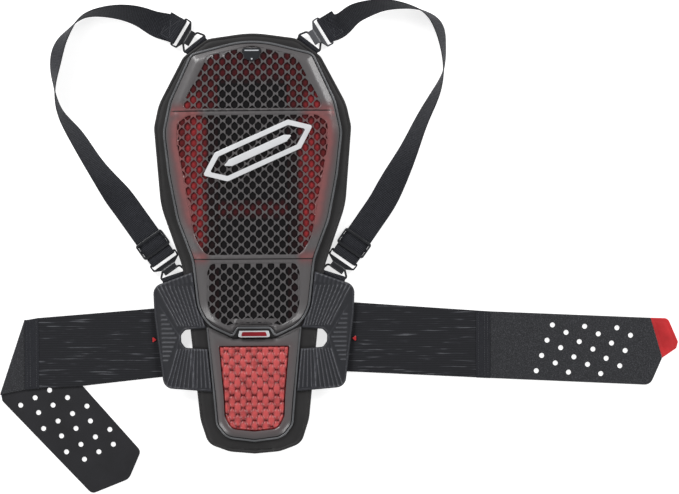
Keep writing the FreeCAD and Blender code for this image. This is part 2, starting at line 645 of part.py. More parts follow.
node("right_belt_elastic", pad("right_elastic", RIGHT_ELASTIC, "0", "Sizes.belt_thick"))
node("right_belt_band", pad("right_band", RIGHT_BAND, "0", "Sizes.band_thick"))
node("right_belt_tail", pad("right_tail", RIGHT_TAIL, "0", "Sizes.tail_thick", RIGHT_HOLES))
node("right_pull_tab", pad("right_tab", PULL_TAB, "0", "Sizes.tail_thick"))
node("left_belt_tail", pad("left_tail", LEFT_TAIL, "0", "Sizes.tail_thick", LEFT_HOLES[:18] +
                           LEFT_HOLES[19:]))
FOLDED = "Sizes.tail_thick + Sizes.gap"
node("left_belt_band", pad("left_band", LEFT_BAND, FOLDED, "Sizes.band_thick"))
node("left_belt_root", pad("left_root", LEFT_ROOT, FOLDED, "Sizes.tail_thick"))
rise = D["tail_thick"] + GAP
belt_profile = [(-100, 0), (-160, 0), (-225, rise), (-310, rise)]
thick_profile = [(x, z + D["belt_thick"]) for x, z in reversed(belt_profile)]
profile = [Vector(x, 0, z) for x, z in belt_profile + thick_profile + belt_profile[:1]]
belt_slab = doc.addObject("Part::Feature", "left_belt_slab")
belt_slab.Shape = Part.Face(Part.makePolygon(profile)).extrude(Vector(0, -240, 0))
node("left_belt_elastic", common("left_elastic_solid", belt_slab, prism(
    "left_elastic_prism", outline("left_elastic_plan", LEFT_ELASTIC))))
for side in (LEFT, RIGHT):
    hand = SIDE_NAME[side]
    node(f"{hand}_belt_pointer", pad(f"{hand}_pointer", flip(POINTER, side),
                                     "Sizes.belt_thick", "Sizes.webbing_thick"))

# ---------------------------------------------------------------- check, place and export

doc.recompute()
for thing in doc.Objects:
    if {"Invalid", "Error"} & set(thing.State):
        raise SystemExit(f"{thing.Label} failed: {thing.State}")

whole = FreeCAD.BoundBox()
for thing in nodes:
    if thing.Shape.isNull() or not thing.Shape.isValid() or not thing.Shape.Solids:
        raise SystemExit(f"{thing.Label} has no valid solid")
    whole.add(thing.Shape.BoundBox)

# The frame's origin is on the floor, under the middle of the whole object.
middle = Placement(Vector(-whole.Center.x, -whole.Center.y, -whole.ZMin), Rotation())
for thing in nodes:
    thing.Placement = middle * thing.Placement
doc.recompute()

os.makedirs("parts", exist_ok=True)
for thing in nodes:
    thing.Shape.exportStep(f"parts/{thing.Label}.step")
    print(f"{thing.Label}: {len(thing.Shape.Solids)} solid, {thing.Shape.Volume:.0f} mm3")
print(f"{len(nodes)} nodes, box {whole.XLength:.1f} x {whole.YLength:.1f} x {whole.ZLength:.1f}")
print(f"moved by {-whole.Center.x:.3f}, {-whole.Center.y:.3f}, {-whole.ZMin:.3f}")
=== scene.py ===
"""Back protector lying open on a pale floor: the finished looks around the CAD frame."""
import math

import bpy
import numpy as np
from mathutils import Matrix, Vector
from mathutils.geometry import delaunay_2d_cdt

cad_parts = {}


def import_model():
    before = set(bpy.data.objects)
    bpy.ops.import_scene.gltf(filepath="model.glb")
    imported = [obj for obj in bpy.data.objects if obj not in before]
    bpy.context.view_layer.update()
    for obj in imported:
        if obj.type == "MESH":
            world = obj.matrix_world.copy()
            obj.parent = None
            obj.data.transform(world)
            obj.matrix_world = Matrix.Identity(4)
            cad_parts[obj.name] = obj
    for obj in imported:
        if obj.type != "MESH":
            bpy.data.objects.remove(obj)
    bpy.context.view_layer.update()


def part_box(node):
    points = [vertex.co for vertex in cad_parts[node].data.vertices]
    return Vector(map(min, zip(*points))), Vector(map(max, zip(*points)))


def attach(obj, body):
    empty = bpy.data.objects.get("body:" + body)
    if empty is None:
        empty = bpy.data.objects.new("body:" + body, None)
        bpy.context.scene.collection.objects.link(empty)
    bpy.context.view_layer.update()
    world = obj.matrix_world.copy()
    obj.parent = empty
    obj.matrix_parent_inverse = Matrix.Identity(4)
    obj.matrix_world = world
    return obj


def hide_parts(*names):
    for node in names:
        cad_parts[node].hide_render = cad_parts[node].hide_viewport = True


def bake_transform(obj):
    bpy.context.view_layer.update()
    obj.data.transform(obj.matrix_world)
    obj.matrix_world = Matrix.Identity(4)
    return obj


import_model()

# ------------------------------------------------------------------ the frame, in millimetres

MM = 0.001
FOAM_NECK = 303.5        # the neck end of the foam, from the frame's own middle
FOAM_THICK, SHELL_TOP, WINDOW_FLOOR = 9.0, 17.5, 16.5
ARCH_RADIUS = 1200.0
FLEX_FROM, FLEX_TO = -106, -130      # the fold between the back and the coccyx part
CORE_CLEAR = 0.2
LEFT, RIGHT = -1, 1
HAND = {LEFT: "left", RIGHT: "right"}

foam_low, foam_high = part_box("base_foam")
SPINE_X = (foam_low.x + foam_high.x) / 2
SPINE_Y = foam_high.y - FOAM_NECK * MM
ARCH_RISE = foam_high.z / MM - FOAM_THICK


def world(x, y, z=0.0):
    """A place in metres, from millimetres across the spine, along it and up."""
    return Vector((SPINE_X + x * MM, SPINE_Y + y * MM, z * MM))


def arch(x, height):
    """Height of the curved layer that lies this far outside the inner face."""
    radius = ARCH_RADIUS + height
    return ARCH_RISE - ARCH_RADIUS + np.sqrt(radius ** 2 - np.square(x))


def on_arch(height):
    """A face that follows the arch at one height."""
    return lambda spots, gap: arch(spots[:, 0], height)


def level(height):
    """A flat face at one height."""
    return lambda spots, gap: np.full(len(spots), float(height))


# ------------------------------------------------------------------ outlines

def rounded(corners, step=1.2):
    """Points round a closed outline of (x, y, radius) corners."""
    count = len(corners)
    spots = [Vector(corner[:2]) for corner in corners]
    points = []
    for index, (x, y, radius) in enumerate(corners):
        here = spots[index]
        behind = (spots[index - 1] - here).normalized()
        ahead = (spots[(index + 1) % count] - here).normalized()
        half = behind.angle(ahead) / 2
        if not radius or half > math.pi / 2 - 0.002:
            points.append(here)
            continue
        reach = radius / math.tan(half)
        centre = here + (behind + ahead).normalized() * radius / math.sin(half)
        first = here + behind * reach - centre
        turn = math.pi - 2 * half
        way = 1 if first.y * behind.x - first.x * behind.y > 0 else -1
        steps = max(2, round(radius * turn / step))
        for number in range(steps + 1):
            angle = way * turn * number / steps
            points.append(centre + Matrix.Rotation(angle, 2) @ first)
    return np.array([tuple(point) for point in points])


def divided(points, step):
    """The same closed outline with no edge longer than a step."""
    out = []
    for here, there in zip(points, np.roll(points, -1, axis=0)):
        parts = max(1, math.ceil(np.linalg.norm(there - here) / step))
        out += [here + (there - here) * k / parts for k in range(parts)]
    return np.array(out)


def mirrored(half):
    """Whole outline from its right half."""
    return half + [(-x, y, radius) for x, y, radius in reversed(half) if x]


def flip(corners, side):
    return [(side * x, y, radius) for x, y, radius in corners]


def area(points):
    x, y = points[:, 0], points[:, 1]
    return 0.5 * np.sum(x * np.roll(y, -1) - np.roll(x, -1) * y)


def inset(points, distance):
    """Outline moved inwards by a distance along its own normals."""
    before, after = np.roll(points, 1, axis=0), np.roll(points, -1, axis=0)
    run = after - before
    run /= np.linalg.norm(run, axis=1)[:, None]
    inward = np.stack([-run[:, 1], run[:, 0]], axis=1) * np.sign(area(points))
    return points + inward * distance


def from_edge(points, outline):
    """Distance of each point from an outline."""
    best = np.full(len(points), 1e9)
    for a, b in zip(outline, np.roll(outline, -1, axis=0)):
        run = b - a
        share = np.clip(((points - a) @ run) / max(run @ run, 1e-9), 0, 1)
        gap = points - a - share[:, None] * run
        best = np.minimum(best, np.einsum("ij,ij->i", gap, gap))
    return np.sqrt(best)


def inside(points, outline):
    """Which points lie in an outline."""
    found = np.zeros(len(points), bool)
    x, y = points[:, 0], points[:, 1]
    for (ax, ay), (bx, by) in zip(outline, np.roll(outline, -1, axis=0)):
        if ay == by:
            continue
        crosses = (ay > y) != (by > y)
        found ^= crosses & (x < (bx - ax) * (y - ay) / (by - ay) + ax)
    return found


def clip(points, window):
    """A convex outline cut to a convex window."""
    sign = np.sign(area(window))
    for a, b in zip(window, np.roll(window, -1, axis=0)):
        run = b - a
        keep = sign * (run[0] * (points[:, 1] - a[1]) - run[1] * (points[:, 0] - a[0]))
        out = []
        for index in range(len(points)):
            here, there = points[index - 1], points[index]
            low, high = keep[index - 1], keep[index]
            if (low > 0) != (high > 0):
                out.append(here + (there - here) * low / (low - high))
            if high > 0:
                out.append(there)
        if len(out) < 3:
            return None
        points = np.array(out)
    return points


def grid(outline, spacing):
    """Staggered points inside an outline, clear of its edge."""
    low, high = outline.min(0), outline.max(0)
    rows = np.arange(low[1], high[1], spacing * 0.87)
    points = [(x + (spacing / 2 if index % 2 else 0), y) for index, y in enumerate(rows)
              for x in np.arange(low[0], high[0], spacing)]
    points = np.array(points)
    points = points[inside(points, outline)]
    return points[from_edge(points, outline) > spacing * 0.55]


# ------------------------------------------------------------------ meshes

def make_object(name, verts, faces, smooth=True, sharp=None):
    mesh = bpy.data.meshes.new(name)
    mesh.from_pydata([tuple(v) for v in verts], [], faces)
    mesh.validate()
    mesh.update()
    if smooth:
        mesh.shade_smooth()
        if sharp:
            mesh.set_sharp_from_angle(angle=math.radians(sharp))
    thing = bpy.data.objects.new(name, mesh)
    bpy.context.scene.collection.objects.link(thing)
    return thing


def triangulate(loops, points, holes=()):
    """Triangles between closed loops and loose points; holes are loops left open."""
    verts, edges, owner = [], [], []
    for number, loop in enumerate(list(loops) + list(holes)):
        first = len(verts)
        verts += [Vector(p) for p in loop]
        edges += [(first + k, first + (k + 1) % len(loop)) for k in range(len(loop))]
        owner += [number] * len(loop)
    verts += [Vector(p) for p in points]
    owner += [-1] * len(points)
    flat, _, faces, sources, _, _ = delaunay_2d_cdt(verts, edges, [], 0, 1e-5)
    spots = np.array([tuple(v) for v in flat])
    whose = np.array([owner[source[0]] if source else -1 for source in sources])
    faces = np.array([face for face in faces if len(face) == 3])
    middle = spots[faces].mean(axis=1)
    keep = inside(middle, np.array(loops[0]))
    belongs = whose[faces]
    in_hole = (belongs[:, 0] >= len(loops)) & (belongs[:, 0] == belongs[:, 1])
    in_hole &= belongs[:, 1] == belongs[:, 2]
    return spots, faces[keep & ~in_hole], whose


def closed_slab(name, outline, top, bottom, spacing, edge=1.0, holes=(), sharp=40, rings=(),
                brims=(), lip=0.0, put=world, light_share=None):
    """A plate between two height functions, its upper edge rounded over.

    top and bottom take (points, distance from the edge) in millimetres.  rings are more
    loops inside the edge, brims are more loops anywhere, and holes stay open, their rims
    lower than the top by the lip.  The light share gives each point its painted light or shade.
    """
    outline = divided(outline, spacing)
    if area(outline) < 0:
        outline = outline[::-1]
    steps = [edge * share for share in (0.12, 0.45, 1.0)] if edge else []
    loops = [outline] + [inset(outline, step) for step in steps + list(rings)]
    inner = loops[-1]
    points = grid(inner, spacing)
    if len(holes):
        clear = np.ones(len(points), bool)
        for hole in holes:
            near = np.linalg.norm(points - hole.mean(axis=0), axis=1)
            clear &= near > np.linalg.norm(hole - hole.mean(axis=0), axis=1).max() * 1.15
        points = points[clear]
    loops += list(brims)
    spots, faces, whose = triangulate(loops, points, holes)
    gap = from_edge(spots, outline)
    high = top(spots, gap) - lip * (whose >= len(loops))
    if edge:
        inner_gap = np.clip(edge - gap, 0, edge)
        high = high - edge + np.sqrt(edge ** 2 - inner_gap ** 2)
    low = bottom(spots, gap)
    count = len(spots)
    verts = [put(x, y, z) for (x, y), z in zip(spots, high)]
    verts += [put(x, y, z) for (x, y), z in zip(spots, low)]
    facing = np.cross(spots[faces[:, 1]] - spots[faces[:, 0]],
                      spots[faces[:, 2]] - spots[faces[:, 0]])
    faces = np.where(facing[:, None] > 0, faces, faces[:, ::-1])
    polygons = [tuple(int(v) for v in face) for face in faces]
    polygons += [tuple(int(v) + count for v in face[::-1]) for face in faces]
    sides = {}
    for a, b, c in faces:
        for here, there in ((a, b), (b, c), (c, a)):
            if (there, here) in sides:
                del sides[(there, here)]
            else:
                sides[(here, there)] = True
    for here, there in sides:
        polygons.append((int(here), int(here) + count, int(there) + count, int(there)))
    thing = make_object(name, verts, polygons, sharp=sharp)
    if light_share:
        shares = thing.data.attributes.new("light_share", "FLOAT", "POINT")
        shares.data.foreach_set("value", np.tile(light_share(spots, gap), 2).astype(np.float32))
    return thing


def flat_uv(thing, along, across):
    """UVs in metres from two directions in the floor plane."""
    layer = thing.data.uv_layers.new(name="UVMap")
    co = np.zeros(len(thing.data.vertices) * 3)
    thing.data.vertices.foreach_get("co", co)
    co = co.reshape(-1, 3)[:, :2]
    index = np.zeros(len(thing.data.loops), int)
    thing.data.loops.foreach_get("vertex_index", index)
    uv = np.stack([co[index] @ np.array(along), co[index] @ np.array(across)], axis=1)
    layer.data.foreach_set("uv", uv.ravel())


def tube_faces(count, sides, closed=True, base=0):
    """Faces between the rings of points of a tube, with caps if it is open."""
    faces = []
    for i in range(count if closed else count - 1):
        here, there = base + i * sides, base + (i + 1) % count * sides
        faces += [(here + k, there + k, there + (k + 1) % sides, here + (k + 1) % sides)
                  for k in range(sides)]
    if not closed:
        last = base + (count - 1) * sides
        faces += [tuple(base + k for k in range(sides))[::-1],
                  tuple(last + k for k in range(sides))]
    return faces


def tube(name, path, radius, closed=True, sides=10, put=world):
    """A round cord of even thickness through 3-D points in millimetres."""
    path = np.array(path, float)
    count = len(path)
    after, before = np.roll(path, -1, axis=0), np.roll(path, 1, axis=0)
    if not closed:
        after[-1], before[0] = path[-1], path[0]
    run = after - before
    run /= np.linalg.norm(run, axis=1)[:, None]
    flat = np.stack([run[:, 1], -run[:, 0], np.zeros(count)], axis=1)
    flat /= np.maximum(np.linalg.norm(flat, axis=1), 1e-6)[:, None]
    rise = np.cross(flat, run)
    angles = np.linspace(0, 2 * math.pi, sides, endpoint=False)
    verts = [put(*(path[i] + radius * (math.cos(a) * flat[i] + math.sin(a) * rise[i])))
             for i in range(count) for a in angles]
    return make_object(name, verts, tube_faces(count, sides, closed))


def join(name, things):
    """One object from several."""
    verts, faces = [], []
    for thing in things:
        base = len(verts)
        verts += [tuple(thing.matrix_world @ v.co) for v in thing.data.vertices]
        faces += [tuple(base + k for k in polygon.vertices) for polygon in thing.data.polygons]
        bpy.data.objects.remove(thing)
    return make_object(name, verts, faces, sharp=40)


# ------------------------------------------------------------------ materials

def new_material(name, colour, rough, metal=0.0, coat=0.0, sheen=0.0, specular=0.5):
    material = bpy.data.materials.new(name)
    material.use_nodes = True
    tree = material.node_tree
    shader = tree.nodes["Principled BSDF"]
    shader.inputs["Base Color"].default_value = (*colour, 1)
    shader.inputs["Roughness"].default_value = rough
    shader.inputs["Metallic"].default_value = metal
    shader.inputs["Coat Weight"].default_value = coat
    shader.inputs["Coat Roughness"].default_value = 0.15
    shader.inputs["Sheen Weight"].default_value = sheen
    shader.inputs["Specular IOR Level"].default_value = specular
    return material, tree, shader


def add(tree, kind, inputs=None, **settings):
    """A shader node with its settings and its input values or links."""
    item = tree.nodes.new(kind)
    for key, value in settings.items():
        setattr(item, key, value)
    for key, value in (inputs or {}).items():
        if isinstance(value, bpy.types.NodeSocket):
            tree.links.new(value, item.inputs[key])
        else:
            item.inputs[key].default_value = value
    return item


def place(tree, uv=False):
    """Object coordinates in metres, or the piece's own UVs."""
    source = tree.nodes.new("ShaderNodeUVMap" if uv else "ShaderNodeTexCoord")
    return source.outputs["UV" if uv else "Object"]


def noise(tree, vector, scale, detail=3.0, rough=0.55):
    return add(tree, "ShaderNodeTexNoise", {"Vector": vector, "Scale": scale, "Detail": detail,
                                            "Roughness": rough}).outputs["Fac"]


def maths(tree, operation, *values):
    item = tree.nodes.new("ShaderNodeMath")
    item.operation = operation
    for index, value in enumerate(values):
        if isinstance(value, bpy.types.NodeSocket):
            tree.links.new(value, item.inputs[index])
        else:
            item.inputs[index].default_value = value
    return item.outputs[0]


def ramp(tree, factor, *stops):
    """Colours against a factor; each stop is (place, colour)."""
    item = tree.nodes.new("ShaderNodeValToRGB")
    tree.links.new(factor, item.inputs["Fac"])
    elements = item.color_ramp.elements
    while len(elements) < len(stops):
        elements.new(0.5)
    for element, (spot, colour) in zip(elements, stops):
        element.position = spot
        element.color = (*colour, 1)
    return item.outputs["Color"]


def paint(tree, shader, factor, *stops):
    """Base colour from a ramp."""
    tree.links.new(ramp(tree, factor, *stops), shader.inputs["Base Color"])


def bump(tree, shader, height, depth):
    """Bump from a height between 0 and 1, depth in metres."""
    item = add(tree, "ShaderNodeBump", {"Height": height, "Strength": 1.0, "Distance": depth})
    tree.links.new(item.outputs["Normal"], shader.inputs["Normal"])


def remap(tree, value, start=0.0, end=1.0, low=0.0, high=1.0):
    """A value carried from one range to another."""
    item = add(tree, "ShaderNodeMapRange", {"Value": value, "From Min": start, "From Max": end,
                                            "To Min": low, "To Max": high})
    return item.outputs["Result"]


def gloss(tree, shader, factor, low, high):
    """Uneven roughness."""
    tree.links.new(remap(tree, factor, low=low, high=high), shader.inputs["Roughness"])


def point_light_share(tree):
    """The share of painted light or shade that closed_slab stored at each point."""
    return add(tree, "ShaderNodeAttribute", attribute_name="light_share").outputs["Fac"]


def split(tree, vector):
    return add(tree, "ShaderNodeSeparateXYZ", {"Vector": vector}).outputs


def grained(name, colour, rough, grain=900.0, depth=0.00012, spread=0.25, **more):
    """Moulded or leathery stuff: grain bump, uneven colour and uneven gloss."""
    material, tree, shader = new_material(name, colour, rough, **more)
    vector = place(tree)
    fine = noise(tree, vector, grain, 4)
    broad = noise(tree, vector, 24, 5)
    darker = tuple(c * (1 - spread) for c in colour)
    lighter = tuple(min(1, c * (1 + spread)) for c in colour)
    paint(tree, shader, broad, (0.3, darker), (0.7, lighter))
    gloss(tree, shader, fine, rough * 0.85, min(1, rough * 1.2))
    bump(tree, shader, fine, depth)
    return material


def woven(name, colour, light, pitch_u, pitch_v, depth, rough=0.75, sheen=0.3, twill=0.5,
          dash=0.5, streak=0.0):
    """Woven cloth from UVs in metres: ribs across u, yarns along v, with light flecks.

    streak adds bright runs of stretched yarn along u.
    """
    material, tree, shader = new_material(name, colour, rough, sheen=sheen, specular=0.15)
    u, v, _ = split(tree, place(tree, uv=True))
    slant = maths(tree, "MULTIPLY", v, twill / pitch_v)
    warp = maths(tree, "SINE", maths(tree, "MULTIPLY_ADD", u, 2 * math.pi / pitch_u,
                                     maths(tree, "MULTIPLY", slant, 2 * math.pi)))
    weft = maths(tree, "SINE", maths(tree, "MULTIPLY", v, 2 * math.pi / pitch_v))
    crossing = maths(tree, "MULTIPLY", warp, weft)
    height = maths(tree, "MULTIPLY_ADD", crossing, 0.25,
                   maths(tree, "MULTIPLY_ADD", weft, 0.25, 0.5))
    wear = noise(tree, place(tree), 260, 4)
    mixed = maths(tree, "MULTIPLY", height, maths(tree, "MULTIPLY_ADD", wear, dash, 1 - dash / 2))
    if streak:
        drawn = add(tree, "ShaderNodeCombineXYZ", {"X": maths(tree, "MULTIPLY", u, 22),
                                                   "Y": maths(tree, "MULTIPLY", v, 330)})
        run = noise(tree, drawn.outputs["Vector"], 1, 2, 0.5)
        bright = remap(tree, run, 0.57, 0.72, high=streak)
        mixed = maths(tree, "MULTIPLY_ADD", mixed, 0.5, bright)
    paint(tree, shader, mixed, (0.25, tuple(c * 0.5 for c in colour)), (0.55, colour),
          (0.85, light))
    bump(tree, shader, height, depth)
    return material


# ------------------------------------------------------------------ finishes

def place_mm(tree):
    """Distance from the spine and place along it, in millimetres, as sockets."""
    x, y, _ = split(tree, place(tree))
    from_spine = maths(tree, "ABSOLUTE", maths(tree, "SUBTRACT", x, SPINE_X))
    along = maths(tree, "SUBTRACT", y, SPINE_Y)
    return maths(tree, "DIVIDE", from_spine, MM), maths(tree, "DIVIDE", along, MM)


def between(tree, value, low, high, soft):
    """1 where a value is between two limits, with soft ends."""
    rise = remap(tree, value, low - soft, low + soft)
    fall = remap(tree, value, high + soft, high - soft)
    return maths(tree, "MULTIPLY", rise, fall)


def shell_material():
    """Smoky polycarbonate that shows a pink glow of the red core at its sides."""
    material, tree, shader = new_material("shell_smoke", (0.1, 0.095, 0.098), 0.34, coat=0.25)
    from_spine, along = place_mm(tree)
    mottle = noise(tree, place(tree), 55, 6, 0.65)
    glow = maths(tree, "MULTIPLY", point_light_share(tree),
                 maths(tree, "MULTIPLY_ADD", mottle, 0.9, 0.5))
    smoke = ramp(tree, glow, (0.0, (0.125, 0.118, 0.12)), (0.45, (0.17, 0.092, 0.094)),
                 (0.9, (0.27, 0.1, 0.1)))
    # Painted shade: the two flex grooves are painted near black, as the shade that lies in them.
    seam = maths(tree, "MAXIMUM", between(tree, along, 193.2, 194.9, 0.25),
                 between(tree, along, -13.4, -11.8, 0.25))
    seam = maths(tree, "MULTIPLY", seam, between(tree, from_spine, -9, 112, 3))
    dark = add(tree, "ShaderNodeMix", {"Factor": seam, "A": smoke, "B": (0.012, 0.01, 0.011, 1)},
               data_type="RGBA")
    tree.links.new(dark.outputs["Result"], shader.inputs["Base Color"])
    scuffs = noise(tree, place(tree), 420, 5, 0.6)
    gloss(tree, shader, scuffs, 0.24, 0.46)
    bump(tree, shader, scuffs, 0.00005)
    return material


def dome_material(name, dark, bright, lit, rough=0.2, coat=0.7, crease_shade=0.85):
    """Glossy core, bright where lit: (share, least and most from the spine, along it)."""
    material, tree, shader = new_material(name, bright, rough, coat=coat)
    from_spine, along = place_mm(tree)
    mottle = noise(tree, place(tree), 75, 4, 0.7)
    share = None
    for part, near, far, low, high in lit:
        area_lit = maths(tree, "MULTIPLY", between(tree, from_spine, near, far, 6),
                         between(tree, along, low, high, 9))
        area_lit = maths(tree, "MULTIPLY", area_lit, part)
        share = area_lit if share is None else maths(tree, "MAXIMUM", share, area_lit)
    share = maths(tree, "MULTIPLY", share, maths(tree, "MULTIPLY_ADD", mottle, 2.0, -0.05))
    # Painted shade: the lit share falls off into the creases between the domes, by the crease share.
    height = maths(tree, "MULTIPLY_ADD", point_light_share(tree), crease_shade, 0.15)
    share = maths(tree, "MULTIPLY", share, height)
    middle = tuple((a + b) / 2 for a, b in zip(dark, bright))
    paint(tree, shader, share, (0.05, dark), (0.5, middle), (0.9, bright))
    bump(tree, shader, mottle, 0.0002)
    return material


def loop_material():
    """Brushed loop fabric: black fuzz flecked with grey."""
    material, tree, shader = new_material("belt_loop", (0.03, 0.03, 0.034), 0.9, sheen=0.6,
                                          specular=0.2)
    fuzz = noise(tree, place(tree), 900, 6, 0.75)
    paint(tree, shader, fuzz, (0.35, (0.008, 0.008, 0.01)), (0.55, (0.03, 0.031, 0.036)),
          (0.72, (0.16, 0.165, 0.18)))
    bump(tree, shader, fuzz, 0.0006)
    return material


def mesh_material():
    """Air mesh lining with small round openings."""
    material, tree, shader = new_material("liner_mesh", (0.05, 0.05, 0.055), 0.85, sheen=0.4)
    cells = add(tree, "ShaderNodeTexVoronoi", {"Vector": place(tree), "Scale": 420.0,
                                               "Randomness": 0.15}).outputs["Distance"]
    paint(tree, shader, cells, (0.2, (0.004, 0.004, 0.005)), (0.42, (0.045, 0.046, 0.05)),
          (0.7, (0.1, 0.1, 0.11)))
    bump(tree, shader, cells, 0.0006)
    return material


def rib_material():
    """Wing rubber, satin, painted a little paler on its moulded ribs and raised edge as a highlight.
    """
    material, tree, shader = new_material("wing_rubber", (0.03, 0.031, 0.037), 0.5)
    wear = noise(tree, place(tree), 180, 4, 0.7)
    # Painted highlight: the relief share of the ribs and raised edge paints them paler, uneven with
    # the noise.
    ridge_highlight = maths(tree, "MULTIPLY", point_light_share(tree),
                     maths(tree, "MULTIPLY_ADD", wear, 0.7, 0.55))
    paint(tree, shader, ridge_highlight, (0.1, (0.02, 0.021, 0.026)), (0.5, (0.04, 0.041, 0.05)),
          (0.95, (0.15, 0.153, 0.17)))
    gloss(tree, shader, wear, 0.42, 0.62)
    bump(tree, shader, noise(tree, place(tree), 1400, 4), 0.00006)
    return material


FINISH = {
    "eva_black": grained("eva_black", (0.019, 0.018, 0.0185), 0.62, grain=1100, spread=0.3),
    "liner_mesh": mesh_material(),
    "shell_smoke": shell_material(),
    "core_red": dome_material("core_red", (0.014, 0.004, 0.005), (0.42, 0.035, 0.04),
                              [(0.8, 66, 96, 5, 186), (0.4, 66, 120, 20, 190),
                               (0.75, 72, 110, 190, 222), (0.24, 40, 120, 190, 275)]),
    "core_black": dome_material("core_black", (0.006, 0.005, 0.006), (0.3, 0.012, 0.02),
                                [(0.3, -20, 60, 236, 275), (0.32, -20, 60, 48, 66)]),
    "coccyx_red": dome_material("coccyx_red", (0.09, 0.005, 0.008), (0.68, 0.1, 0.1),
                                [(0.9, -20, 60, -300, -100)], rough=0.42, coat=0.12,
                                crease_shade=0.95),
    "bead_grey": grained("bead_grey", (0.13, 0.133, 0.14), 0.35, grain=500, depth=0.00005,
                         coat=0.3),
    "wing_rubber": rib_material(),
    "belt_elastic": woven("belt_elastic", (0.028, 0.029, 0.035), (0.11, 0.113, 0.125),
                          0.0012, 0.0032, 0.0001, twill=0.0, dash=0.5, streak=0.65),
    "belt_band": woven("belt_band", (0.016, 0.017, 0.022), (0.05, 0.052, 0.062),
                       0.0011, 0.0011, 0.0001, twill=0.0),
    "belt_loop": loop_material(),
    "tail_back": grained("tail_back", (0.0125, 0.0125, 0.0155), 0.7, grain=1600, depth=0.00008,
                         spread=0.25),
    "tab_red": grained("tab_red", (0.62, 0.03, 0.035), 0.4, grain=700, coat=0.2),
    "webbing": woven("webbing", (0.016, 0.017, 0.021), (0.075, 0.077, 0.09), 0.0022, 0.0019,
                     0.0002, twill=1.0, sheen=0.03),
    "hardware": grained("hardware", (0.022, 0.023, 0.026), 0.32, grain=600, depth=0.00004),
    "hardware_grey": grained("hardware_grey", (0.09, 0.092, 0.1), 0.3, grain=600,
                             depth=0.00004),
    "badge_chrome": grained("badge_chrome", (0.8, 0.81, 0.83), 0.22, grain=400,
                            depth=0.00003, metal=0.2, coat=0.5, spread=0.1),
    "badge_red": grained("badge_red", (0.28, 0.012, 0.02), 0.3, grain=400, coat=0.5),
    "emblem_silver": grained("emblem_silver", (0.86, 0.87, 0.89), 0.35, grain=900,
                             depth=0.00004, metal=0.1, coat=0.3, spread=0.08),
    "tag_dark": grained("tag_dark", (0.02, 0.022, 0.026), 0.4, grain=500),
    "tag_mark": grained("tag_mark", (0.6, 0.62, 0.65), 0.45, grain=500, spread=0.08),
    "thread": grained("thread", (0.07, 0.072, 0.08), 0.7, grain=2500, spread=0.3),
    "floor": grained("floor", (0.86, 0.86, 0.86), 0.6, grain=60, depth=0.0, spread=0.01),
}


def dress(thing, finish, slot, body, *nodes):
    """Finish, body and the CAD nodes that a piece stands for; the slot is not used."""
    thing.data.materials.clear()
    thing.data.materials.append(FINISH[finish])
    if body:
        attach(thing, body)
    if nodes:
        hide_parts(*nodes)
    return thing


# ------------------------------------------------------------------ back plate outlines

FOAM = mirrored([(0, 303.5, 150), (62, 295, 25), (96, 270, 16), (131, 204, 70), (138, 172, 30),
                 (129, 62, 120), (98, -26, 160), (87.5, -123, 0), (76, -236, 60),
                 (65, -270, 20), (35, -281, 40), (0, -284, 0)])
SHELL = mirrored([(0, 296.5, 150), (86, 275, 14), (117, 208, 60), (126, 165, 50),
                  (119, 104, 150), (107, 42, 90), (86, -14, 60), (79, -78, 50),
                  (67, -104, 45), (29, -122, 6), (21.5, -110, 2)])
TAIL_PLATE = mirrored([(38.7, -118.3, 0), (67.2, -104.8, 1.5), (57.5, -208, 0),
                       (54.5, -244, 18), (40, -263, 24), (0, -268, 0)])
WINDOWS = [mirrored([(0, 285.5, 40), (62, 272, 8), (99, 203, 6), (93, 196, 5)]),
           mirrored([(90, 189.5, 12), (106, 178, 12), (106.5, 149, 50), (82, 15, 60),
                     (66, -8, 14)]),
           mirrored([(60, -17.5, 8), (65.5, -30, 12), (65, -76, 20), (58, -95, 12),
                     (38, -106, 10)])]
TAIL_WINDOW = mirrored([(51, -132, 3), (44.5, -205, 40), (43.5, -232, 14), (34, -251, 16),
                        (0, -254.5, 0)])
TAG = mirrored([(13.5, 281, 3), (10.5, 267, 3), (0, 262, 6)])
EMBLEM_MIDDLE, EMBLEM_TILT = (7.5, 138.5), 24.0
EMBLEM_OUTER = [(-84, 0, 3), (-56, 22, 4), (56, 22, 4), (84, 0, 3), (56, -22, 4), (-56, -22, 4)]
EMBLEM_INNER = [(-73, 0, 2), (-53, 15, 3), (53, 15, 3), (73, 0, 2), (53, -15, 3), (-53, -15, 3)]
EMBLEM_BAR = [(-52, 0, 1), (-42, 5, 1), (42, 5, 1), (52, 0, 1), (42, -5, 1), (-42, -5, 1)]
BADGE = [(-20, -112.3, 1), (20.5, -112.3, 1), (23.5, -121.5, 3), (-22.5, -121.5, 3)]
BADGE_FACE = [(-16, -114, 1), (16.5, -114, 1), (18.5, -119.8, 1), (-17.5, -119.8, 1)]

CELL_COLUMN, CELL_PITCH = 8.2, 15.0
CELL = [(0, -6.5, 0.8), (4.5, -2.5, 1.0), (4.5, 2.5, 1.0), (0, 6.5, 0.8), (-4.5, 2.5, 1.0),
        (-4.5, -2.5, 1.0)]
CELL_BORDER, SMALLEST_CELL = 1.4, 9.0
CORE_DOME, CORE_FLOOR, CORE_RISE = (6.0, 8.6), 11.9, 2.5
TAIL_COLUMN, TAIL_PITCH = 7.8, 17.6
TAIL_DOME, TAIL_FLOOR, TAIL_RISE = (5.2, 8.6), 9.8, 3.3
SPINE_HALF, CORE_GAP, CORE_FAR = 48, 0.3, 160
CORE_TOP, CORE_END = 320, -117.7
SHELL_RIM, SHELL_RIM_WIDTH = 12.6, 12.0
BEAD_INSET, SHELL_INSET, CORE_INSET, LINER_INSET = 2.0, 4.2, 8.6, 9.6
BEAD_RADIUS, TAIL_BEAD_RADIUS = 1.5, 1.3


def ease(value):
    """0 to 1 with soft ends."""
    share = np.clip(value, 0, 1)
    return share * share * (3 - 2 * share)


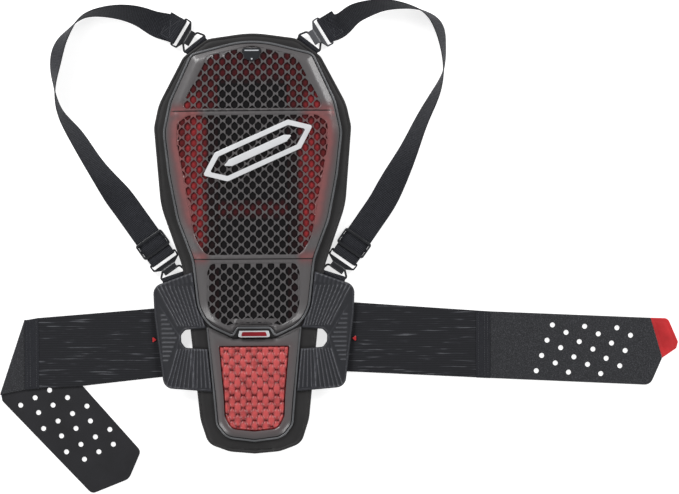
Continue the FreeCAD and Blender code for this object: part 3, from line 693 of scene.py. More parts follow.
def cell_centres(low, high, column, pitch):
    """Centres of a honeycomb: each second column is set over by half a pitch."""
    for number in range(math.floor(low[0] / column), math.ceil(high[0] / column) + 1):
        shift = pitch / 2 if number % 2 else 0
        for row in range(math.floor(low[1] / pitch) - 1, math.ceil(high[1] / pitch) + 1):
            yield number * column, row * pitch + shift


def dome(points, column, pitch, wide, tall):
    """0 at the creases of a honeycomb, 1 at the middle of each cell."""
    x, y = points[:, 0], points[:, 1]
    best = np.zeros(len(points))
    base = np.round(x / column)
    for step in (-1, 0, 1):
        number = base + step
        shift = np.where(number % 2 == 1, pitch / 2, 0)
        row = np.round((y - shift) / pitch)
        across, along = (x - number * column) / wide, (y - row * pitch - shift) / tall
        best = np.maximum(best, 1 - across ** 2 - along ** 2)
    return np.sqrt(np.clip(best, 0, 1))


def crease_of(column, pitch, size):
    """The dome pattern as a function of place: 0 in the creases, 1 on the domes."""
    return lambda spots, gap: dome(spots, column, pitch, *size)


def clip_any(outline, window):
    """An outline cut to a convex window, without its shortest edges."""
    piece = clip(outline, window)
    step = np.linalg.norm(piece - np.roll(piece, 1, axis=0), axis=1)
    return piece[step > 0.05]


def window_cells(window):
    """Honeycomb openings in one window, cut off at its border."""
    border = inset(window, CELL_BORDER)
    low, high = border.min(0), border.max(0)
    shape = rounded(CELL, 0.8)
    cells = []
    for x, y in cell_centres(low, high, CELL_COLUMN, CELL_PITCH):
        piece = clip(shape + (x, y), border)
        if piece is None or abs(area(piece)) < SMALLEST_CELL:
            continue
        step = np.linalg.norm(piece - np.roll(piece, 1, axis=0), axis=1)
        piece = piece[step > 0.15]
        cells.append(piece if area(piece) > 0 else piece[::-1])
    return cells


# ------------------------------------------------------------------ back plate pieces

def foam_cover():
    """Moulded foam back, in one piece across the coccyx fold, with a pressed line inside its edge."""
    notch = np.array([(-22, -271), (30, -271), (24, -278), (-15, -278)])

    def top(spots, gap):
        line = 0.9 * np.exp(-((gap - 4.2) / 1.1) ** 2)
        sunk = 1.3 * inside(spots, notch)
        return arch(spots[:, 0], FOAM_THICK) - line - sunk

    def bottom(spots, gap):
        return arch(spots[:, 0], 0) + np.where(gap > 8.7, 2.6, 0)

    thing = closed_slab("foam_back", rounded(FOAM, 4), top, bottom, 6.5, edge=1.8,
                        rings=(3.1, 4.2, 5.3, 8.4, 9.0), brims=[divided(notch, 4)])
    dress(thing, "eva_black", "eva_black", None, "base_foam", "coccyx_foam")
    world(0, FLEX_FROM, 0)
    world(0, FLEX_TO, 0)
    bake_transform(thing)


def quilted_liner():
    """Air mesh lining on the wearer's side, quilted in diamonds."""
    diamond = 34.0

    def bottom(spots, gap):
        x, y = spots[:, 0], spots[:, 1]
        seams = [np.abs((x * turn + y * 0.8) / diamond % 1 - 0.5) for turn in (1, -1)]
        seam = np.exp(-(np.minimum(*seams) * diamond / 2.4) ** 2)
        hem = np.exp(-np.abs(gap - 4) / 1.6)
        return arch(x, 0.15) + 1.3 * np.maximum(seam, hem) + 0.6 * ease(1 - gap / 3)

    outline = inset(rounded(FOAM, 4), LINER_INSET)
    thing = closed_slab("comfort_lining", outline, on_arch(2.5), bottom, 4.5, edge=0.8,
                        rings=(3.2, 4.0, 4.8))
    dress(thing, "liner_mesh", "liner_mesh", None, "comfort_liner", "coccyx_liner")
    world(0, FLEX_FROM, 0)
    world(0, FLEX_TO, 0)
    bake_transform(thing)


def shell_height(gap):
    """Outer face of the shell above the inner face: a rim that slopes up to the crown."""
    return SHELL_RIM + (SHELL_TOP - SHELL_RIM) * ease(gap / SHELL_RIM_WIDTH) ** 0.7


def main_shell():
    """Smoked shell: sloping rim, three sunken windows of honeycomb and two flex grooves."""
    edge = inset(rounded(SHELL, 3), SHELL_INSET)
    windows = [divided(rounded(corners, 3), 4) for corners in WINDOWS]
    grooves = ((194.0, 1.7, 100.0), (-12.6, 1.6, 75.0))

    def top(spots, gap):
        height = shell_height(gap)
        for window in windows:
            depth = from_edge(spots, window) * inside(spots, window)
            height -= 1.0 * ease(depth / 0.9)
        for line, deep, reach in grooves:
            span = ease((reach + 24 - np.abs(spots[:, 0])) / 16)
            height -= deep * span * np.exp(-((spots[:, 1] - line) / 1.1) ** 2)
        return arch(spots[:, 0], height)

    def bottom(spots, gap):
        return top(spots, gap) - 1.9 - 0.6 * ease((3 - gap) / 3)

    # Painted light: the share of the red core's pink glow painted into the shell, beside the windows,
    # along the grooves and on the webs.
    def light_share(spots, gap):
        x, y = np.abs(spots[:, 0]), spots[:, 1]
        beside = np.exp(-(from_edge(spots, windows[1]) / 9) ** 2)
        beside *= ease((x - 62) / 22) * ease((y - 10) / 40)
        beside = np.maximum(beside, 0.9 * np.exp(-(((y - 194) / 9) ** 2)) * ease((x - 84) / 14))
        low = 0.8 * np.exp(-(((y + 10) / 8) ** 2)) * ease((x - 58) / 12)
        webs = 0.35 * inside(spots, windows[1]) * ease((x - 60) / 20)
        return np.maximum(np.maximum(beside * (gap > 1), low), webs)

    cells = [cell for window in windows for cell in window_cells(window)]
    wells = [inset(window, 0.9) for window in windows]
    brims = windows + wells + [inset(cell, -0.42) for cell in cells]
    thing = closed_slab("smoked_shell", edge, top, bottom, 4.2, edge=0.7, rings=(2.5, 5),
                        brims=brims, holes=cells, lip=0.75, sharp=50, light_share=light_share)
    dress(thing, "shell_smoke", "shell_smoke", "back", "main_shell")


def shell_edges():
    """Rounded bead round the shell, rising where it laps over the coccyx plate."""
    outline = inset(rounded(SHELL, 3), BEAD_INSET)
    x, y = outline[:, 0], outline[:, 1]
    height = 12.1 + 3.4 * ease((-92 - y) / 14)
    path = np.stack([x, y, arch(x, height)], axis=1)
    bead = tube("shell_edge_bead", path, BEAD_RADIUS)
    dress(bead, "bead_grey", "bead_grey", "back", "shell_bead")
    outline = divided(inset(rounded(TAIL_PLATE, 3), BEAD_INSET), 4)
    start = np.argmax(outline[:, 1] + 0.01 * outline[:, 0])
    outline = np.roll(outline, -start, axis=0)
    outline = outline[: np.argmax(outline[:, 1] - 0.01 * outline[:, 0]) + 1]
    x, y = outline[:, 0], outline[:, 1]
    path = np.stack([x, y, arch(x, 10.9)], axis=1)
    bead = tube("coccyx_edge_bead", path, TAIL_BEAD_RADIUS, closed=False)
    dress(bead, "bead_grey", "bead_grey", "coccyx", "coccyx_bead")


def cores():
    """Impact cores under the honeycomb, one glossy dome to each cell."""
    edge = inset(rounded(SHELL, 3), CORE_INSET)
    bottom = on_arch(FOAM_THICK + CORE_CLEAR)
    crease = crease_of(CELL_COLUMN, CELL_PITCH, CORE_DOME)

    def top(spots, gap):
        return arch(spots[:, 0], CORE_FLOOR + CORE_RISE * crease(spots, gap))

    def core(name, near, far, finish, node):
        column = np.array([(near, CORE_TOP), (far, CORE_TOP), (far, CORE_END), (near, CORE_END)])
        thing = closed_slab(name, clip_any(edge, column), top, bottom, 2.2, edge=0, light_share=crease)
        dress(thing, finish, finish, "back", node)

    for side in (LEFT, RIGHT):
        core(f"{HAND[side]}_red_core", side * (SPINE_HALF + CORE_GAP), side * CORE_FAR,
             "core_red", "thorax_core")
    core("spine_core_black", -SPINE_HALF, SPINE_HALF, "core_black", "spine_core")


def coccyx_plate():
    """Lower plate with one long window over bright red domes."""
    top_edge = [(30, -123.4, 1), (64.5, -107.1, 1), (53.3, -208, 0), (50.4, -243, 14),
                (37.5, -259, 20), (0, -263.8, 0)]
    edge = rounded(mirrored(top_edge), 3)
    window = divided(rounded(TAIL_WINDOW, 3), 4)

    def top(spots, gap):
        depth = from_edge(spots, window) * inside(spots, window)
        height = 10.9 + 3.1 * ease(gap / 8) ** 0.7 - 0.6 * ease(depth / 0.8)
        return arch(spots[:, 0], height)

    def faint_glow(spots, gap):
        return 0.12 * np.exp(-(from_edge(spots, window) / 6) ** 2)

    def bottom(spots, gap):
        return top(spots, gap) - 1.9

    hole = inset(window, 1.6)
    thing = closed_slab("coccyx_frame", edge, top, bottom, 4.2, edge=0.7, rings=(3, 6),
                        brims=[window, inset(window, 0.8)], holes=[hole], lip=0.5, sharp=50,
                        light_share=faint_glow)
    dress(thing, "shell_smoke", "shell_smoke", "coccyx", "coccyx_shell")

    crease = crease_of(TAIL_COLUMN, TAIL_PITCH, TAIL_DOME)

    def dome_top(spots, gap):
        free = ease((from_edge(spots, hole) * inside(spots, hole) - 0.4) / 2.5)
        rise = TAIL_RISE * crease(spots, gap)
        return arch(spots[:, 0], TAIL_FLOOR + 0.5 * free + rise * free)

    core = rounded(mirrored([(54, -127.5, 0), (49, -208, 0), (46, -240, 12), (34, -254, 16),
                             (0, -259, 0)]), 3)
    thing = closed_slab("coccyx_domes", core, dome_top, on_arch(FOAM_THICK + CORE_CLEAR), 1.3,
                        edge=0, light_share=crease)
    dress(thing, "coccyx_red", "core_red", "coccyx", "coccyx_core")


def turned(points, middle, tilt):
    angle = math.radians(tilt)
    spin = np.array([[math.cos(angle), -math.sin(angle)], [math.sin(angle), math.cos(angle)]])
    return points @ spin.T + np.array(middle)


def plate_on_arch(name, outline, low, high, spacing=3.0, edge=0.5, holes=()):
    """A small trim plate that follows the arch."""
    return closed_slab(name, outline, on_arch(high), on_arch(low), spacing, edge=edge,
                       holes=holes)


def trim():
    """Emblem, size tag and badge."""
    outer, inner, bar = [turned(rounded(corners), EMBLEM_MIDDLE, EMBLEM_TILT)
                         for corners in (EMBLEM_OUTER, EMBLEM_INNER, EMBLEM_BAR)]
    ring = plate_on_arch("emblem_ring", outer, WINDOW_FLOOR, 18.4, holes=[divided(inner, 3)])
    bar = plate_on_arch("emblem_bar", bar, WINDOW_FLOOR, 18.2)
    dress(join("emblem", [ring, bar]), "emblem_silver", "emblem_silver", "back", "shell_emblem")
    tag = plate_on_arch("size_tag_plate", rounded(TAG), WINDOW_FLOOR, 17.9)
    dress(tag, "tag_dark", "tag_dark", "back", "size_tag")
    stripe = rounded([(-10, 278.6, 0.4), (10, 278.6, 0.4), (9.7, 277.0, 0.4), (-9.7, 277.0, 0.4)])
    dot = rounded([(-1.8, 266, 1.2), (0, 264.2, 1.2), (1.8, 266, 1.2), (0, 267.8, 1.2)])
    marks = [plate_on_arch("tag_stripe", stripe, 17.7, 18.1, edge=0.15),
             plate_on_arch("tag_dot", dot, 17.7, 18.1, edge=0.15)]
    dress(join("size_tag_marks", marks), "tag_mark", "tag_dark", "back")
    bezel = plate_on_arch("badge_frame", rounded(BADGE), 14.8, 18.9, edge=0.8)
    dress(bezel, "badge_chrome", "badge_chrome", "back", "badge_bezel")
    face = plate_on_arch("badge_face", rounded(BADGE_FACE), 18.4, 19.3, edge=0.4)
    dress(face, "badge_red", "badge_red", "back", "badge_insert")


# ------------------------------------------------------------------ wings

WING_FACE = [(84.8, -29.8, 1), (141, -50, 15), (139.5, -90, 150), (126.5, -192, 14),
             (82.1, -195.4, 1), (87.9, -136.2, 0.8), (96, -135.5, 5), (101.5, -128, 5),
             (102, -118, 5), (96, -110.8, 5), (65.6, -108.3, 0.8), (79.6, -78, 40)]
WING_ARM = [(64.8, -137.7, 0.8), (89.6, -136.0, 0.2), (84.0, -195.3, 0.2), (59.2, -197.3, 0.8)]
PANEL_HIGH, PANEL_SLOPE, PANEL_THICK = 13.9, 0.2, 3.5
PANEL_FROM = 90.0       # the wing leaves the arch here
RIB_HIGH = 1.0


def wing_under(x):
    """Underside of a wing: along the arch, then straight down and out."""
    return np.where(x < PANEL_FROM, arch(x, 9.3), PANEL_HIGH - PANEL_SLOPE * (x - PANEL_FROM))


def groove(points, start, end, wide):
    """1 on a line between two points, 0 beyond its width."""
    a, b = np.array(start, float), np.array(end, float)
    run = b - a
    share = np.clip((points - a) @ run / (run @ run), 0, 1)
    gap = np.linalg.norm(points - a - share[:, None] * run, axis=1)
    return np.exp(-(gap / wide) ** 2)


def wing_relief(points, gap):
    """Moulded pattern of the wing's face: fans of ribs, a stepped band and the height scale."""
    rise = 0.7 * np.exp(-((gap - 2.0) / 0.7) ** 2)
    for number in range(-2, 9):
        rise += groove(points, (87.3 + 6.0 * number, -50), (74 + 4.0 * number, -105), 0.75)
    for number in range(-3, 9):
        rise += groove(points, (74.8 + 4.0 * number, -138), (73.6 + 6.2 * number, -191), 0.75)
    for number in range(-1, 9):
        x = 83 + 6.0 * number
        y = -34 - 0.26 * (x - 98)
        rise += 0.5 * groove(points, (x, y), (x - 3, y - 11), 1.5)
    for number in range(-5, 6):
        y = -122 + 6.3 * number
        start = 107.9 + abs(number) * (3.3 if number > 0 else 2.5)
        rise += groove(points, (start, y), (128.5 + 0.25 * number, y), 0.9)
    rise += 0.5 * groove(points, (104, -119), (131, -78), 0.7)
    rise += 0.5 * groove(points, (104, -121), (118, -178), 0.7)
    return np.minimum(rise, RIB_HIGH)


def wing(side):
    """Rubber waist wing in two arms: the upper by the back, the lower by the coccyx."""
    hand = HAND[side]

    def put(x, y, z):
        return world(side * x, y, z)

    def top(spots, gap):
        return wing_under(spots[:, 0]) + PANEL_THICK - RIB_HIGH + wing_relief(spots, gap)

    def bottom(spots, gap):
        return wing_under(spots[:, 0])

    face = closed_slab(f"{hand}_wing_face", rounded(WING_FACE, 2), top, bottom, 1.2, edge=0.8,
                       put=put, light_share=wing_relief)
    dress(face, "wing_rubber", "wing_rubber", None, f"{hand}_wing_panel",
          f"{hand}_wing_upper_root")
    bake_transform(face)
    arm = closed_slab(f"{hand}_wing_arm", rounded(WING_ARM, 2), top, bottom, 1.2, edge=0.8,
                      put=put, light_share=wing_relief)
    dress(arm, "wing_rubber", "wing_rubber", None, f"{hand}_wing_lower_root")
    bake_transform(arm)


# ------------------------------------------------------------------ webbing and buckles

UPPER_RING, UPPER_RING_TURN = (78.6, 286.8), 52.0
LOWER_RING, LOWER_RING_TURN = (111.3, -36.4), 72.0
UPPER_HOOK, UPPER_HOOK_TURN = (99.4, 304.1), 31.0
LOWER_HOOK, LOWER_HOOK_TURN = (125.2, -13.6), 55.0
ADJUSTER_OFF_HOOK = 27.0
RING_WIRE = [(0, -20, 3), (0, 20, 3), (12.6, 12.5, 3.5), (12.6, -12.5, 3.5)]
HOOK_PLATE = [(5.5, -22, 3), (5.5, 22, 3), (-5, 21.5, 3), (-11, 10, 4), (-11, -10, 4),
              (-5, -21.5, 3)]
HOOK_SLOT = [(2, -20, 1), (2, 20, 1), (-3.6, 19, 1), (-3.6, -19, 1)]
WEB_HALF, WEB_THICK, STRAP_Z = 19.0, 1.6, 5.5


def swing(centre, turn, side, shift=0.0):
    """Puts buckle millimetres in the world; +u points from the spine along the strap."""
    angle = math.radians(turn if side == RIGHT else 180 - turn)
    ahead = Vector((math.cos(angle), math.sin(angle)))
    beside = Vector((-ahead.y, ahead.x))

    def put(u, w, z):
        spot = Vector((side * centre[0], centre[1])) + ahead * (u + shift) + beside * w
        return world(spot.x, spot.y, z)

    return put


def ribbon(name, verts, uvs, rows, closed=False):
    """Cloth from cross-sections of two rows of points, the upper face before the lower."""
    size = 2 * rows
    count = len(verts) // size
    faces = []
    for k in range(count if closed else count - 1):
        here, there = k * size, (k + 1) % count * size
        for c in range(rows - 1):
            faces.append((here + c, there + c, there + c + 1, here + c + 1))
            faces.append((here + rows + c, here + rows + c + 1, there + rows + c + 1,
                          there + rows + c))
        for c, d in ((0, rows), (size - 1, rows - 1)):
            faces.append((here + c, here + d, there + d, there + c))
    if not closed:
        for k in (0, (count - 1) * size):
            faces += [(k + c, k + c + 1, k + rows + c + 1, k + rows + c)
                      for c in range(rows - 1)]
    thing = make_object(name, verts, faces, sharp=60)
    set_uv(thing, uvs)
    return thing


def strip(name, profile, half, thick, put, closed=False, rows=9, lift=None):
    """A strip of even thickness that follows a (u, z) profile; UVs run along and across it."""
    profile = np.array(profile, float)
    fine = []
    count = len(profile)
    for k in range(count if closed else count - 1):
        a, b = profile[k - 1] if closed or k else profile[0], profile[k]
        c, d = profile[(k + 1) % count], profile[(k + 2) % count]
        if not closed and k + 2 >= count:
            d = c
        for t in np.linspace(0, 1, 5)[:-1]:
            fine.append(0.5 * (2 * b + (c - a) * t + (2 * a - 5 * b + 4 * c - d) * t ** 2
                               + (3 * b - a - 3 * c + d) * t ** 3))
    if not closed:
        fine.append(profile[-1])
    fine = np.array(fine)
    after, before = np.roll(fine, -1, axis=0), np.roll(fine, 1, axis=0)
    if not closed:
        after[-1], before[0] = fine[-1], fine[0]
    run = after - before
    run /= np.maximum(np.linalg.norm(run, axis=1), 1e-9)[:, None]
    out = np.stack([-run[:, 1], run[:, 0]], axis=1)
    shares = np.linspace(-1, 1, rows)
    verts, uvs = [], []
    way = 0.0
    for k, (spot, normal) in enumerate(zip(fine, out)):
        way += np.linalg.norm(spot - fine[k - 1]) if k else 0
        for face in (1, -1):
            for share in shares:
                slim = 0.75 if abs(share) == 1 else 1.0
                u, z = spot + normal * face * thick / 2 * slim
                z += lift(u, share * half) if lift else 0
                verts.append(put(u, share * half, z))
                uvs.append((way * MM, share * half * MM))
    return ribbon(name, verts, uvs, rows, closed)


def set_uv(thing, uvs):
    """UVs given for each vertex."""
    layer = thing.data.uv_layers.new(name="UVMap")
    index = np.zeros(len(thing.data.loops), int)
    thing.data.loops.foreach_get("vertex_index", index)
    layer.data.foreach_set("uv", np.array(uvs)[index].ravel())


def ring(name, put):
    """Bent wire ring."""
    path = [(u, w, 7.1) for u, w in divided(rounded(RING_WIRE, 0.8), 3)]
    return tube(name, path, 1.5, put=put, sides=12)


def hook(name, put):
    """Slotted plate whose nose passes over the ring and turns down inside it."""
    slot_line = divided(rounded(HOOK_SLOT), 4)

    def top(spots, gap):
        return 7.0 - 0.35 * np.exp(-((gap - 2.2) / 0.6) ** 2)

    plate = closed_slab(f"{name}_plate", rounded(HOOK_PLATE, 0.8), top, level(4.0), 2.0,
                        edge=0.9, holes=[slot_line], put=put)
    nose = strip(f"{name}_nose", [(-8.5, 5.5), (-9.4, 8.2), (-11.3, 9.9), (-14, 10.1),
                                  (-16.6, 9.7), (-17.8, 8.4), (-17.8, 5.6)], 10.5, 2.2, put)
    return join(name, [plate, nose])


def adjuster(name, put):
    """Sliding buckle: a rounded frame over the webbing, and a bar and rails beneath it."""
    frame_line = rounded([(-12.5, -22, 4), (12.5, -22, 4), (12.5, 22, 4), (-12.5, 22, 4)], 0.8)
    opening = rounded([(-9, -19.3, 2), (9, -19.3, 2), (9, 19.3, 2), (-9, 19.3, 2)], 0.8)
    parts = [closed_slab(f"{name}_frame", frame_line, level(8.9), level(6.8), 2.2, edge=0.9,
                         holes=[divided(opening, 3)], put=put)]
    bar = rounded([(-2.2, -22, 0.5), (2.2, -22, 0.5), (2.2, 22, 0.5), (-2.2, 22, 0.5)])
    parts.append(closed_slab(f"{name}_bar", bar, level(4.3), level(2.3), 2.0, edge=0.6,
                             put=put))
    for end in (-1, 1):
        rail = rounded([(-9, end * 19.6, 0.5), (9, end * 19.6, 0.5), (9, end * 22, 0.5),
                        (-9, end * 22, 0.5)])
        parts.append(closed_slab(f"{name}_rail", rail, level(7.2), level(2.3), 2.0, edge=0,
                                 put=put))
    return join(name, parts)


def stitches(name, lines, put=world, pitch=3.2, length=2.2, radius=0.28):
    """Rows of raised stitches along straight runs between 3-D points."""
    up, sides = np.array((0, 0, 1)), 6
    angles = np.linspace(0, 2 * math.pi, sides, endpoint=False)
    verts, faces = [], []
    for start, end in lines:
        start, end = np.array(start, float), np.array(end, float)
        reach = np.linalg.norm(end - start)
        ahead = (end - start) / reach
        for k in range(int(reach / pitch)):
            middle = start + ahead * (k + 0.5) * pitch
            path = [middle - ahead * length / 2 - up * radius, middle - ahead * length / 4,
                    middle + ahead * length / 4, middle + ahead * length / 2 - up * radius]
            run = path[2] - path[1]
            flat = np.array((run[1], -run[0], 0))
            flat /= np.linalg.norm(flat)
            faces += tube_faces(len(path), sides, closed=False, base=len(verts))
            verts += [put(*(spot + radius * (math.cos(a) * flat + math.sin(a) * up)))
                      for spot in path for a in angles]
    return make_object(name, verts, faces)


def box_stitch(name, near, far, half, z, put):
    """A sewn box with a cross, as at the end of a strap."""
    corners = [(near, -half, z), (far, -half, z), (far, half, z), (near, half, z)]
    runs = list(zip(corners, corners[1:] + corners[:1]))
    runs += [(corners[0], corners[2]), (corners[1], corners[3])]
    return stitches(name, runs, put, pitch=2.6, length=1.9)


def buckles(side):
    """Rings, hooks, adjuster and the webbing loops that hold them."""
    hand = HAND[side]
    upper_ring = swing(UPPER_RING, UPPER_RING_TURN, side)
    lower_ring = swing(LOWER_RING, LOWER_RING_TURN, side)
    upper_hook = swing(UPPER_HOOK, UPPER_HOOK_TURN, side)
    lower_hook = swing(LOWER_HOOK, LOWER_HOOK_TURN, side)
    slider = swing(LOWER_HOOK, LOWER_HOOK_TURN, side, ADJUSTER_OFF_HOOK)
    grey = "hardware_grey" if side == RIGHT else "hardware"
    for name, make, put, finish, body in (
            (f"{hand}_upper_ring", ring, upper_ring, "hardware", "back"),
            (f"{hand}_lower_ring", ring, lower_ring, "hardware", f"{hand}_lower_ring"),
            (f"{hand}_upper_hook", hook, upper_hook, grey, f"{hand}_strap"),
            (f"{hand}_lower_hook", hook, lower_hook, "hardware", f"{hand}_lower_hook"),
            (f"{hand}_adjuster", adjuster, slider, "hardware", f"{hand}_adjuster")):
        dress(make(f"{name}_looks", put), finish, "hardware", body, name)
    inner = side * 0.19

    def sloped(u, w):
        return inner * w * float(ease((-u - 2) / 10))

    anchors = (("upper_anchor", upper_ring, None, "back",
                [(-17, 2.8), (-8, 2.9), (-3, 3.8), (0.6, 4.5), (3.2, 6.6), (2.6, 9.0), (0, 10.0),
                 (-2.5, 9.1), (-3.4, 7.0), (-5, 5.0), (-9, 4.5), (-17, 4.4)]),
               ("lower_anchor", lower_ring, sloped, f"{hand}_wing",
                [(-16, 8.4), (-9, 8.4), (-4, 8.7), (-1.6, 9.6), (1.2, 9.6), (2.7, 7.6),
                 (2.3, 5.3), (0, 4.3), (-2.4, 5.2), (-4.5, 6.7), (-9, 7.2), (-16, 7.0)]))
    for label, put, lift, body, profile in anchors:
        loop = strip(f"{hand}_{label}_loop", profile, WEB_HALF - 1.5, 1.3, put, lift=lift)
        dress(loop, "webbing", "webbing", body, f"{hand}_{label}")
    for label, put, body in (("upper", upper_hook, f"{hand}_strap"),
                             ("lower", lower_hook, f"{hand}_strap")):
        profile = [(26, 7.2), (16, 7.3), (8.4, 7.6), (6.4, 8.1), (4.2, 8.3), (2.0, 7.5),
                   (1.3, 5.5), (2.0, 3.5), (4.2, 2.7), (6.4, 2.9), (8.4, 3.4), (16, 3.7),
                   (26, 3.8)]
        if label == "lower":
            profile = [(12, 7.1)] + profile[2:-2] + [(12, 3.8)]
        loop = strip(f"{hand}_{label}_strap_loop", profile, WEB_HALF - 0.4, 1.4, put)
        dress(loop, "webbing", "webbing", body)
    tack = box_stitch(f"{hand}_bar_tack", 10, 24, 15, 8.1, upper_hook)
    dress(tack, "thread", "webbing", f"{hand}_strap")


# ------------------------------------------------------------------ shoulder straps

STRAP_PATH = {
    LEFT: [(-132, 316, 25), (-152, 325, 44), (-180, 332.5, 60),
           (-211, 333, 76), (-236, 326, 90), (-254, 308, 104), (-267, 289, 118),
           (-274, 262, 118), (-275, 230, 99), (-268, 196, 82), (-250, 167, 63),
           (-223, 124, 52), (-196, 86, 26)],
    RIGHT: [(121, 312, 28), (140, 326, 47), (161, 335, 58), (182, 340, 68),
            (202, 340, 78), (226, 336, 90), (246, 327, 102), (259, 313, 112), (266, 287, 106),
            (267, 250, 92), (257, 219, 74), (237, 180, 62), (218, 138, 48), (194, 91, 18)]}
STRAP_FLOOR = 1.1
STRAP_STARTS, STRAP_STRAIGHT = 6.4, 86.8


def spline(ways, values, first, last, where):
    """Smooth cubic through values, with a given slope at each end."""
    ways, values = np.array(ways), np.array(values, float)
    count = len(ways)
    step = np.diff(ways)
    rise = np.diff(values, axis=0) / step[:, None]
    matrix = np.zeros((count, count))
    right = np.zeros_like(values)
    matrix[0, 0] = matrix[-1, -1] = 1
    right[0], right[-1] = first, last
    for k in range(1, count - 1):
        matrix[k, k - 1:k + 2] = step[k], 2 * (step[k - 1] + step[k]), step[k - 1]
        right[k] = 3 * (step[k] * rise[k - 1] + step[k - 1] * rise[k])
    slope = np.linalg.solve(matrix, right)
    part = np.clip(np.searchsorted(ways, where, "right") - 1, 0, count - 2)
    h = step[part][:, None]
    t = ((where - ways[part]) / step[part])[:, None]
    return ((2 * t ** 3 - 3 * t ** 2 + 1) * values[part] + (t ** 3 - 2 * t ** 2 + t) * h
            * slope[part] + (3 * t ** 2 - 2 * t ** 3) * values[part + 1]
            + (t ** 3 - t ** 2) * h * slope[part + 1])


def shoulder_strap(side):
    """Woven webbing that leaves the upper hook, rolls on to its edge and comes back flat."""
    hand = HAND[side]
    upper = swing(UPPER_HOOK, UPPER_HOOK_TURN, side)
    lower = swing(LOWER_HOOK, LOWER_HOOK_TURN, side)
    origin = world(0, 0)

    def flat(put, u):
        spot = (put(u, 0, 0) - origin) / MM
        return np.array((spot.x, spot.y))

    path = STRAP_PATH[side]
    points = [flat(upper, STRAP_STARTS)] + [np.array(item[:2]) for item in path]
    points.append(flat(lower, STRAP_STRAIGHT))
    ways = [0.0]
    for here, there in zip(points, points[1:]):
        ways.append(ways[-1] + np.linalg.norm(there - here))
    first = flat(upper, 1) - flat(upper, 0)
    last = flat(lower, 0) - flat(lower, 1)
    where = np.linspace(0, ways[-1], 190)
    line = spline(ways, points, first, last, where)
    rolls = [0] + [item[2] for item in path] + [0]
    lows = [STRAP_Z] + [STRAP_FLOOR] * len(path) + [STRAP_Z]
    twist = spline(ways, list(zip(rolls, lows)), 0, 0, where)
    run = np.gradient(line, where, axis=0)
    run /= np.linalg.norm(run, axis=1)[:, None]
    straight = np.linspace(STRAP_STRAIGHT, STRAP_STARTS, 24)[1:]
    line = np.vstack([line, [flat(lower, u) for u in straight]])
    run = np.vstack([run, np.tile(last, (len(straight), 1))])
    twist = np.vstack([twist, np.tile((0, STRAP_Z), (len(straight), 1))])
    rows = 11
    shares = np.linspace(-1, 1, rows)
    verts, uvs = [], []
    way = 0.0
    for k in range(len(line)):
        way += np.linalg.norm(line[k] - line[k - 1]) if k else 0
        roll, low = math.radians(twist[k, 0]), twist[k, 1]
        ahead = np.array((*run[k], 0))
        outward = np.cross(ahead, (0, 0, 1)) * -side
        across = outward * math.cos(roll) + np.array((0, 0, math.sin(roll)))
        through = np.cross(ahead, across)
        centre = np.array((*line[k], WEB_HALF * math.sin(roll) + low))
        cup = 0.5 * math.sin(roll) * side
        for face in (1, -1):
            for share in shares:
                slim = 0.7 if abs(share) == 1 else 1.0
                spot = centre + across * share * WEB_HALF
                spot = spot + through * (face * WEB_THICK / 2 * slim + cup * (share ** 2 - 0.5))
                verts.append(world(*spot))
                uvs.append((way * MM, share * WEB_HALF * MM))
    thing = ribbon(f"{hand}_shoulder_webbing", verts, uvs, rows)
    dress(thing, "webbing", "webbing", f"{hand}_strap", f"{hand}_shoulder_strap")


# ------------------------------------------------------------------ kidney belts

LEFT_ROOT = [(-320, -95.5, 0), (-354.7, -199, 2), (-320, -192.3, 0)]
LEFT_TAIL = [(-322.7, -103.5, 0), (-354.9, -200.5, 4), (-353.5, -208.5, 5), (-229, -339.5, 9),
             (-177, -319, 14), (-160, -280, 9), (-241, -188, 0)]
RIGHT_TAIL = [(328.6, -88.2, 0), (554.5, -99.1, 0), (570.5, -155.5, 6), (553.5, -193.2, 12),
              (328.6, -181.8, 0)]
PULL_TAB = [(554.5, -99.1, 0), (579, -99.8, 8), (593, -133, 5), (590.5, -142, 3),
            (570.5, -155.5, 0)]
POINTER = [(136.5, -124.5, 0.5), (142.5, -120, 1), (142.5, -129, 1)]
CREASE = ((-319.5, -95.5), (-354.7, -200.2))
WING_PAD = [(110, -78, 3), (134.5, -80, 3), (128, -165, 3), (110, -163, 3)]
FOLD_LIFT = 2.3
LEFT_BELT_RISE = ((-225, 2.3), (-160, 0.0))


def hole_rows(first, along, across, odd):
    """Seven rows of three holes; each odd row is set over by the same step."""
    return [tuple(first[i] + column * along[i] + (row // 2) * across[i] + (row % 2) * odd[i]
                  for i in (0, 1)) for row in range(7) for column in range(3)]


RIGHT_HOLES = hole_rows((417.3, -108.1), (45.1, -2.35), (-7.7, -21.3), (19, -10.6))
LEFT_HOLES = hole_rows((-327.8, -214.6), (31.8, -32.9), (20.3, 10.3), (25, -10.5))
HIDDEN_HOLE = 18        # the hole that the folded belt covers
HOLE_RADIUS = 3.5
ELASTIC_ROWS, ELASTIC_THICK, RIB_DEPTH = 62, 2.2, 0.16
BAND_ROWS, BAND_THICK = 40, 2.7
TAIL_THICK = 2.0


